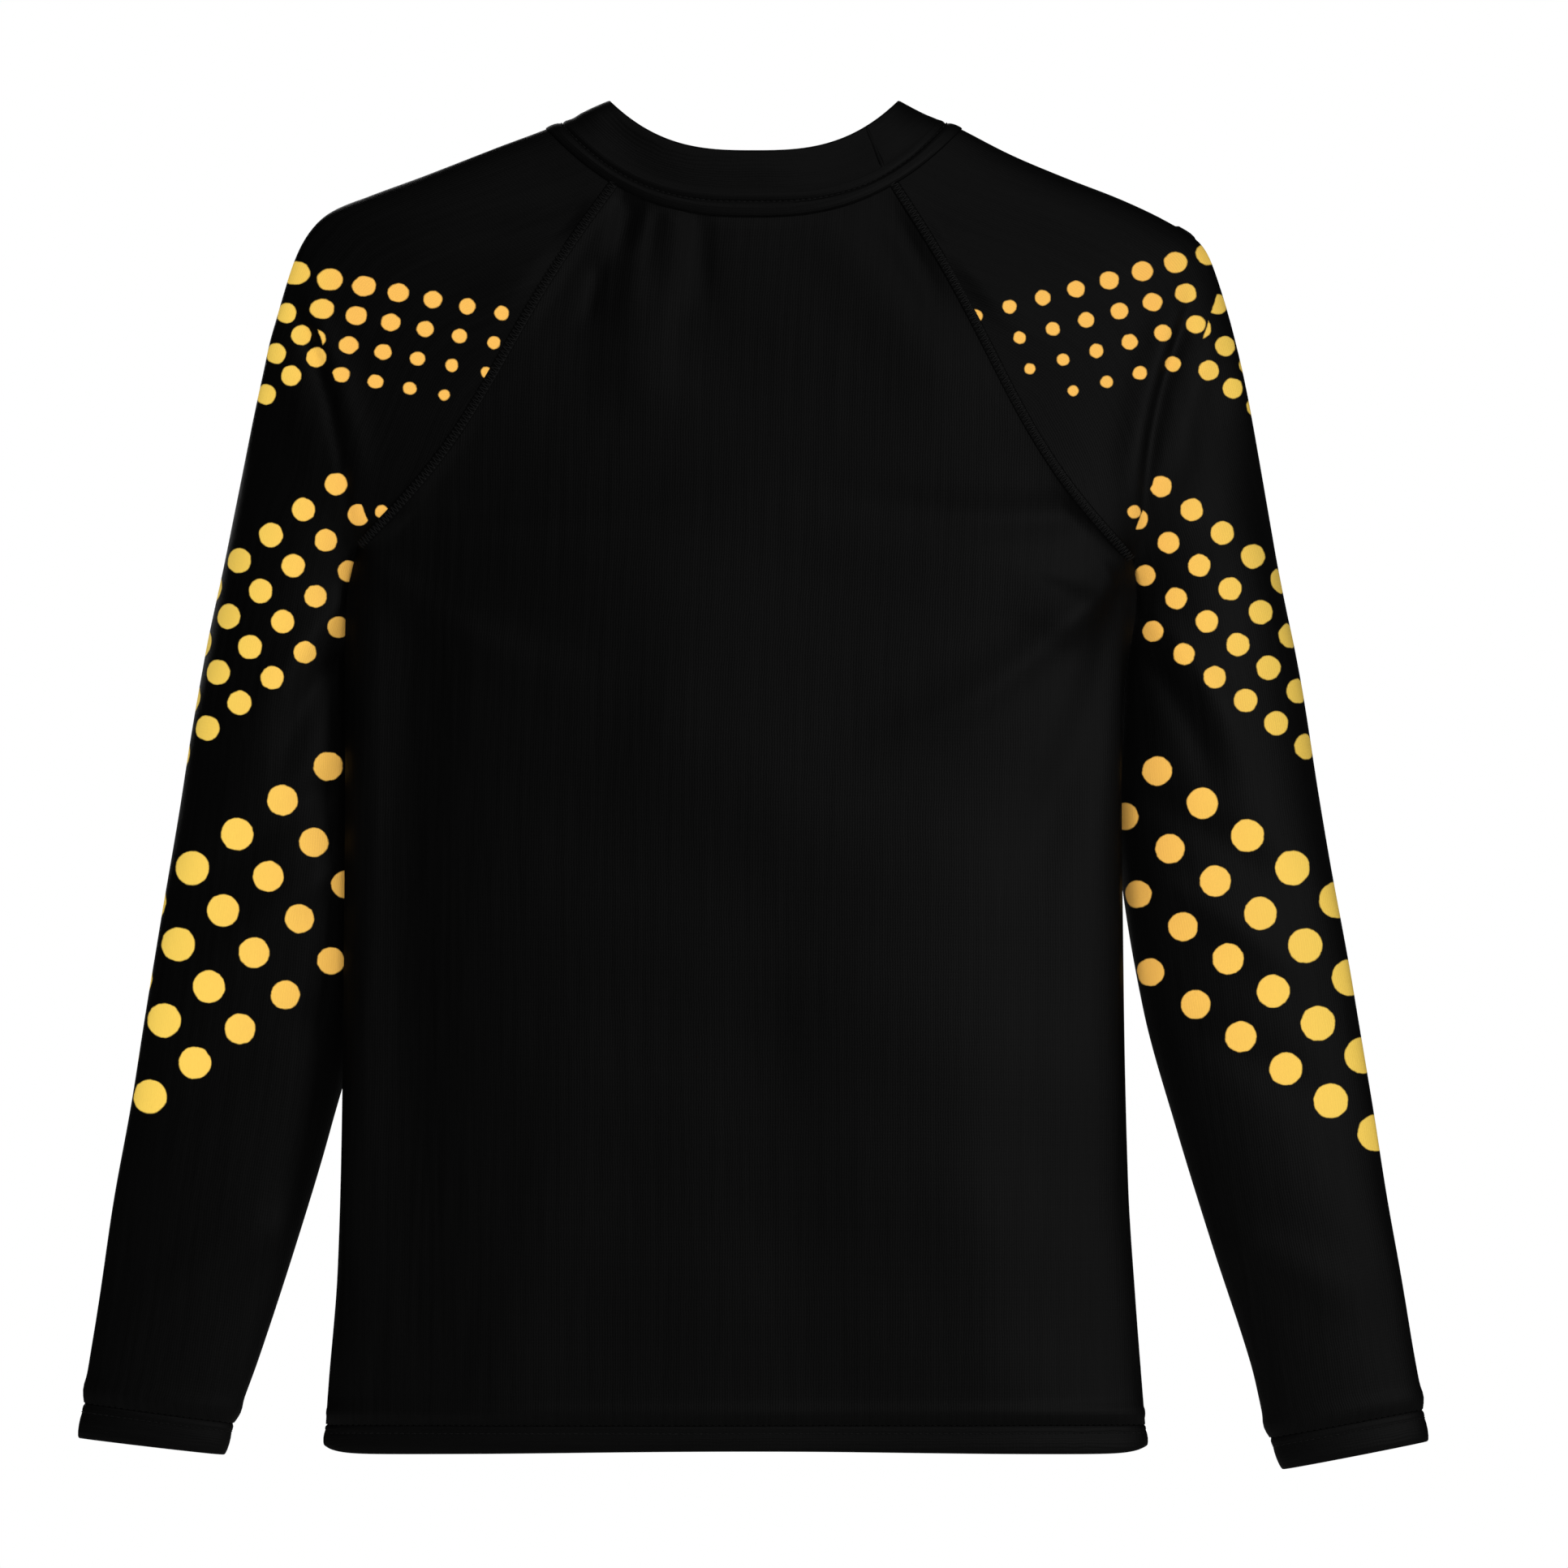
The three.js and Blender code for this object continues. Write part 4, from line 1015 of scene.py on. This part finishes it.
def turned_up(name, ring, down, body, stands_for, material, stretch):
    """The doubled edge below a ring of points: TURNED_EDGE set out from each point of the ring along
    its own down vector, times stretch."""
    out = ring_frame(ring, down)
    o, d = TURNED_EDGE.T
    below = (down / HEM)[:, None] * d[:, None] * stretch[:, None, None]
    grid = ring[:, None] + out[:, None] * o[:, None] + below
    piece = solid(name, grid, material, loop=True)
    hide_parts(stands_for)
    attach(piece, body)
    return out


# ---- Stitches ----
STITCH = 2.6  # length of one stitch
THREAD = 0.34  # radius
STITCH_ROUND = 6


def stitches(name, at, along, across, up, material, length=STITCH, radius=THREAD, rise=0.3):
    """One short thread for each place: a sausage whose axis arches up by rise from one end to the
    other, so that its ends dip into the cloth."""
    t = np.array([0.0, 0.12, 0.5, 0.88, 1.0])
    width = np.array([0.35, 0.9, 1.0, 0.9, 0.35]) * radius
    turn_ = np.linspace(0, 2 * np.pi, STITCH_ROUND, endpoint=False)
    a = ((t - 0.5) * length)[:, None] + 0 * turn_
    b = width[:, None] * np.cos(turn_)
    c = width[:, None] * np.sin(turn_) + (rise * (1 - (2 * t - 1) ** 2))[:, None]
    shape = [k.reshape(-1, 1) for k in (a, b, c)]
    points = at[:, None] + along[:, None] * shape[0] + across[:, None] * shape[1] + up[:, None] * shape[2]
    quads = grid_faces(len(t), STITCH_ROUND, ring=True)
    ends = np.stack([np.arange(STITCH_ROUND)[::-1], np.arange(a.size - STITCH_ROUND, a.size)])
    if signed_volume(points[0], [*quads.tolist(), *ends.tolist()]) < 0:
        quads, ends = quads[:, ::-1], ends[:, ::-1]
    first = (np.arange(len(at)) * a.size)[:, None, None]
    faces = [*(quads + first).reshape(-1, 4).tolist(), *(ends + first).reshape(-1, STITCH_ROUND).tolist()]
    piece = mesh_piece(name, points.reshape(-1, 3), faces, material)
    return piece


def spaced(path, *vectors, pitch=3.2, closed=False):
    """Places at even spacing along a path, with its direction and the vectors given at its points."""
    if closed:
        path, *vectors = (np.concatenate([v, v[:1]]) for v in (path, *vectors))
    run = np.r_[0, np.linalg.norm(np.diff(path, axis=0), axis=-1).cumsum()]
    at = (np.arange(int(run[-1] / pitch)) + 0.5) * run[-1] / int(run[-1] / pitch)

    def take(v):
        """A vector at each place, between its values at the path's points."""
        return np.stack([np.interp(at, run, v[:, k]) for k in range(3)], -1)

    along = take(np.gradient(path, axis=0) / np.gradient(run)[:, None])
    along /= np.linalg.norm(along, axis=-1, keepdims=True)
    made = [take(v) for v in vectors]
    return take(path), along, *[v / np.linalg.norm(v, axis=-1, keepdims=True) for v in made]


def needle_rows(name, ring, down, out, body, stands_for):
    """Two rows of straight stitches round the doubled edge."""
    places = []
    for below, lift in NEEDLES:
        path = ring + down / HEM * below + out * lift
        places.append(spaced(path, down, out, closed=True))
    at, along, across, up = (np.concatenate(v) for v in zip(*places))
    piece = stitches(name, at, along, across, up, thread)
    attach(piece, body)
    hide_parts(stands_for)


# ---- Bottom hem ----
top = np.concatenate([panels["back"][0, :-1], panels["front"][0, :0:-1]])
middle_x = float(centre(HEM - BODY_LENGTH))
share = (top[:, 0] - middle_x) / np.abs(top[:, 0] - middle_x).max()
flares = {side: side_out[side](1) - side_out[side](0.965) for side in SIDES}
flare = np.where(share < 0, flares["left"], flares["right"])
drop = np.stack([share * flare, 0 * share, np.full(len(share), -HEM)], -1)
from_side = np.minimum(top[:, 0] - top[:, 0].min(), top[:, 0].max() - top[:, 0])
(wide_over, wide_rise), (end_over, end_rise) = HEM_RISE
rise = wide_rise * np.exp(-(((top[:, 0] - middle_x) / wide_over) ** 2))
rise = rise + end_rise * np.exp(-from_side / end_over)
out = turned_up("bottom_hem_cloth", top, drop, "body", "bottom_hem", body_knit, 1 - (rise + HEM_SHORT) / HEM)
needle_rows("bottom_hem_stitches", top, drop, out, "body", "bottom_hem_stitch")

# ---- Cuffs ----
for side in SIDES:
    ring = sleeves[side][-1, :-1]
    angle = np.linspace(0, 2 * np.pi, AROUND + 1)[:-1]
    drop = tube_point(side, 1.0, angle) - tube_point(side, 1 - HEM / UNDERARM[side], angle)
    out = turned_up(
        f"{side}_cuff_cloth", ring, drop, f"{side}_forearm", f"{side}_cuff_hem", body_knit, np.ones(len(ring))
    )
    needle_rows(f"{side}_cuff_stitches", ring, drop, out, f"{side}_forearm", f"{side}_cuff_stitch")

# ---- Collar and binding ----
NECK_AROUND = 300


def neck_point(angle, in_binding, in_collar):
    """Round the neck: angle 0 is the left neck point, 90 degrees the centre back. The shares run up the
    binding and then up the collar."""
    back = np.sin(angle) >= 0
    e = -np.cos(angle)
    seam_half = mix(NECK_HALF, NECK_HALF - BINDING, in_binding)
    half = mix(seam_half, COLLAR_TOP_HALF, in_collar)
    side_rise = 0.3 * BINDING * in_binding + 0.46 * COLLAR * in_collar
    drop_ = BINDING * in_binding + COLLAR * in_collar - np.where(back, NECK_DROP["back"], NECK_DROP["front"])
    power = np.where(back, NECK_POWER["back"], NECK_POWER["front"])
    z = mix(drop_, side_rise, np.abs(e) ** mix(power, 2.85, np.maximum(in_binding, in_collar)))
    seam_z = np.where(back, neck_line(e * NECK_HALF, "back"), neck_line(e * NECK_HALF, "front"))
    depth = half_depth(e * NECK_HALF, seam_z) * mix(1, COLLAR_LEAN, in_collar)
    return np.stack(np.broadcast_arrays(e * half, np.where(back, -1, 1) * depth, z), -1)


NECK_TURNS = np.linspace(0, 2 * np.pi, NECK_AROUND, endpoint=False) + np.pi / NECK_AROUND


def neck_normals(turns, in_binding, in_collar):
    """Outwards from the band at each point, from small steps round it and up it."""
    step = 0.02
    round_ = neck_point(turns + step, in_binding, in_collar) - neck_point(turns - step, in_binding, in_collar)
    if in_collar > 0:
        up = neck_point(turns, in_binding, in_collar) - neck_point(turns, in_binding, in_collar - step)
    else:
        upper = min(in_binding + step, 1)
        up = neck_point(turns, upper, 0) - neck_point(turns, upper - step, 0)
    out = np.cross(round_, up)
    out /= np.maximum(np.linalg.norm(out, axis=-1, keepdims=True), 1e-9)
    return out * np.sign((out[:, 1] * -np.sin(turns)).sum())


def neck_band(name, stations, stands_for):
    """A closed band round the neck: its section goes through stations of (share up the binding, share
    up the collar, how far out of the middle of the cloth)."""
    loops = []
    for in_binding, in_collar, lift in stations:
        out = neck_normals(NECK_TURNS, max(in_binding, 0), in_collar)
        lift = lift * (1 - 0.5 * np.cos(NECK_TURNS) ** 8)
        loops.append(neck_point(NECK_TURNS, in_binding, in_collar) + out * lift[..., None])
    piece = solid(name, np.stack(loops, 1), body_knit, loop=True)
    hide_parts(stands_for)
    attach(piece, "body")
    return piece


collar_wave = 0.9 * np.sin(NECK_TURNS * 5 + 1) + 0.6 * np.sin(NECK_TURNS * 8)
neck_band("neck_binding_cloth", [
    (-0.1, 0, -0.6), (-0.17, 0, 0.1), (-0.15, 0, 1.0), (0.0, 0, 1.8), (0.2, 0, 2.4), (0.4, 0, 2.6),
    (0.6, 0, 2.3),
    (0.74, 0, 1.6), (0.84, 0, 0.6), (0.9, 0, 0.4), (1, 0, 0.3), (1, 0, -1.3), (0.6, 0, -1.3), (0.2, 0, -1.2),
], "neck_binding")
neck_band("collar_cloth", [
    (1, -0.08, -0.3), (1, -0.03, 0.8), (1, 0.01, 1.7), (1, 0.05, 2.0), (1, 0.1, 1.6), (1, 0.15, 1.15),
    (1, 0.22, 1.0), (1, 0.38, 1.1 + collar_wave), (1, 0.6, 1.1 + collar_wave),
    (1, 0.82, 1.15 + collar_wave / 2),
    (1, 0.95, 1.1), (1, 0.99, 0.7), (1, 1, 0), (1, 0.99, -0.7), (1, 0.95, -1.1), (1, 0.6, -1.1), (1, 0.3, -1.1),
    (1, -0.04, -1.1),
], "collar_band")

path = neck_point(NECK_TURNS, 0.83, 0)
up = neck_normals(NECK_TURNS, 0.83, 0)
across = neck_point(NECK_TURNS, 1, 0) - neck_point(NECK_TURNS, 0.6, 0)
at, along, across, up = spaced(path + up * 0.45, across, up, pitch=3, closed=True)
piece = stitches("neck_stitches", at, along, across, up, thread)
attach(piece, "body")
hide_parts("neck_stitch")


# ---- Ridges along a seam ----
RIDGE = np.array([
    (-1, 0), (-0.8, 0.55), (-0.4, 0.9), (0, 1), (0.4, 0.9), (0.8, 0.55), (1, 0), (0.6, -0.6), (-0.6, -0.6),
])


def ridge(name, path, across, up, width, height, material):
    """A low rounded ridge carried along a path, tapering over its last points."""
    taper = smooth(np.minimum(np.arange(len(path)), np.arange(len(path))[::-1]) / 3 + 0.25)
    a, b = RIDGE.T
    grid = (
        path[:, None]
        + across[:, None] * a[:, None] * (width / 2 * taper)[:, None, None]
        + up[:, None] * b[:, None] * (height * taper)[:, None, None]
    )
    piece = solid(name, grid, material)
    return piece


# the collar's ends meet behind the right shoulder
t = np.linspace(0.04, 0.97, 14)
places = {}
for k in (-0.5, 0, 0.5):
    e = (mix(*COLLAR_JOIN, t) + k * 2.4) / mix(NECK_HALF - BINDING, COLLAR_TOP_HALF, t)
    places[k] = neck_point(np.arccos(-e), 1, t)
across = places[0.5] - places[-0.5]
across /= np.linalg.norm(across, axis=-1, keepdims=True)
up = np.cross(across, np.gradient(places[0], axis=0))
up /= np.linalg.norm(up, axis=-1, keepdims=True)
up *= np.sign(-up[:, 1:2])
piece = ridge("collar_join", places[0] + up * 1.2, across, up, 2.4, 0.55, body_knit)
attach(piece, "body")
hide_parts("collar_join_seam")

# ---- Flat-locked raglan seams ----
SEAM = 5.2  # width over the stitches
SEAM_HIGH = 0.45
for side, s in SIDES.items():
    for face in FACES:
        t = np.linspace(-0.012, 0.985, 120)
        path, left_of, right_of, ahead = (
            on_body(s * (raglan(side, face, t + dt)[0] + dx), raglan(side, face, t + dt)[1] + dz, face)
            for dt, dx, dz in ((0, 0, 0), (0, -1, -0.8), (0, 1, 0.8), (0.002, 0, 0))
        )
        along = ahead - path
        along /= np.linalg.norm(along, axis=-1, keepdims=True)
        up = np.cross(right_of - left_of, along)
        up /= np.linalg.norm(up, axis=-1, keepdims=True)
        up *= np.sign(up[:, 1:2] * FACES[face])
        across = np.cross(along, up)
        cloth = ridge(f"{side}_{face}_raglan_seam", path, across, up, SEAM, SEAM_HIGH, body_knit)
        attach(cloth, "body")
        legs = []
        at, way, side_on, outward = spaced(path, across, up, pitch=2.4)
        for lean in (1, -1):
            slant = side_on + way * 0.24 * lean
            slant /= np.linalg.norm(slant, axis=-1, keepdims=True)
            start = at + outward * 0.5 + way * (0.0 if lean > 0 else 1.2)
            legs.append((start, slant, np.cross(outward, slant), outward))
        at, slant, beside, outward = (np.concatenate(v) for v in zip(*legs))
        piece = stitches(
            f"{side}_{face}_raglan_stitches", at, slant, beside, outward, cover_thread,
            length=SEAM, radius=0.36, rise=0.45,
        )
        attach(piece, "body")
        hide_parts(f"{side}_{face}_raglan_stitch")

# ---- Overlocked allowances inside the sides and under the arms ----
ALLOWANCE = 6
ALLOWANCE_THICK = 1.2


def allowance(name, path, inward, stands_for):
    """A flat doubled strip inside a seam, wrapped in thread that makes its edge a little wavy."""
    count = len(path)
    a = np.array([0, 0.5, 1, 1.03, 1, 0.5, 0]) * ALLOWANCE
    b = np.array([0.5, 0.5, 0.45, 0, -0.45, -0.5, -0.5]) * ALLOWANCE_THICK
    wave = 0.35 * np.sin(np.arange(count) * 2 * np.pi / 4)[:, None] * (a / ALLOWANCE) ** 2
    thick = np.array([0, 1, 0])
    start = path + inward * (CLOTH + 0.6)
    grid = start[:, None] + inward[:, None] * (a + wave)[..., None] + thick * b[:, None]
    piece = solid(name, grid, overlock)
    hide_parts(stands_for)
    return piece


def overlock_material():
    """Overlocked edge: black thread laid side by side across the strip."""
    material, tree, shader = new_material("overlocked edge in black polyester thread")
    cloth = node(tree, "ShaderNodeAttribute", attribute_name="cloth").outputs["Vector"]
    across = {"Vector": cloth, "Scale": 0.35, "Distortion": 1.0}
    lines = node(tree, "ShaderNodeTexWave", across, bands_direction="Y")
    shade = node(tree, "ShaderNodeMixRGB", {
        "Fac": lines.outputs["Fac"], "Color1": linear("#050505"), "Color2": linear("#161616"),
    })
    bump = node(tree, "ShaderNodeBump", {"Height": lines.outputs["Fac"], "Strength": 0.6, "Distance": 0.0003})
    tree.links.new(shade.outputs[0], shader.inputs["Base Color"])
    tree.links.new(bump.outputs[0], shader.inputs["Normal"])
    shader.inputs["Roughness"].default_value = 0.5
    shader.inputs["Specular IOR Level"].default_value = 0.2
    return material


overlock = overlock_material()
for side, s in SIDES.items():
    z = np.linspace(HEM - BODY_LENGTH + 1.5, -ARMPIT_DROP[side] - 12, 260)
    path = np.stack([s * side_seam(side, z), 0 * z, z], -1)
    piece = allowance(f"{side}_side_allowance", path, np.tile([-s, 0, 0], (260, 1)), f"{side}_side_seam")
    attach(piece, "body")
    spans = {"upper": (0.15, 0.29), "lower": (0.292, 1 - (HEM + 1.5) / UNDERARM[side])}
    for part, (start, stop) in spans.items():
        count = int((stop - start) * UNDERARM[side] / 1.2)
        path = tube_point(side, np.linspace(start, stop, count), 0.0)
        piece = allowance(
            f"{side}_underarm_allowance_{part}", path, np.tile([s, 0, 0], (count, 1)),
            f"{side}_underarm_seam_{part}",
        )
        if part == "upper":
            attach(piece, f"{side}_upper")
        else:
            bend_at_elbow(piece, side)

# ---- Care label ----
RIBBON = 0.25  # thickness of the woven ribbon
RIBBON_ROWS = 30
RIBBON_FLAT, RIBBON_TURN = 24, 11  # points along each leg of its section, and round its fold
RIBBON_CLEAR = 0.1  # of the space it has, on each face
RIBBON_END = 0.3  # and at each end


def care_label():
    """A ribbon folded double: its section is a narrow U, from the seam inwards, round the fold and back
    to the seam, carried down the label and waved a little."""
    low, high = (np.array(corner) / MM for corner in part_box("care_label"))
    bend = (high[1] - low[1]) / 2 - RIBBON_CLEAR
    fold_at, middle_y = high[0] - bend, (low[1] + high[1]) / 2
    out_and_back = np.linspace(low[0], fold_at, RIBBON_FLAT)
    turns = np.linspace(-np.pi / 2, np.pi / 2, RIBBON_TURN)[1:-1]
    x = np.r_[out_and_back, fold_at + bend * np.cos(turns), out_and_back[::-1]]
    y = middle_y + np.r_[np.full(RIBBON_FLAT, -bend), bend * np.sin(turns), np.full(RIBBON_FLAT, bend)]
    z = np.linspace(high[2] - RIBBON_END, low[2] + RIBBON_END, RIBBON_ROWS)[:, None]
    grid = np.stack([x + 0 * z, y + 0.1 * np.sin(z / 4), z + 0 * x], -1)
    middle = np.array([(low[0] + fold_at) / 2, middle_y, 0])
    piece = cloth_sheet(
        "care_label_ribbon", grid, satin, len(x) // 2, outward=lambda g: (g - middle) * (0, 1, 0), thick=RIBBON
    )
    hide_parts("care_label")
    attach(piece, "body")


care_label()
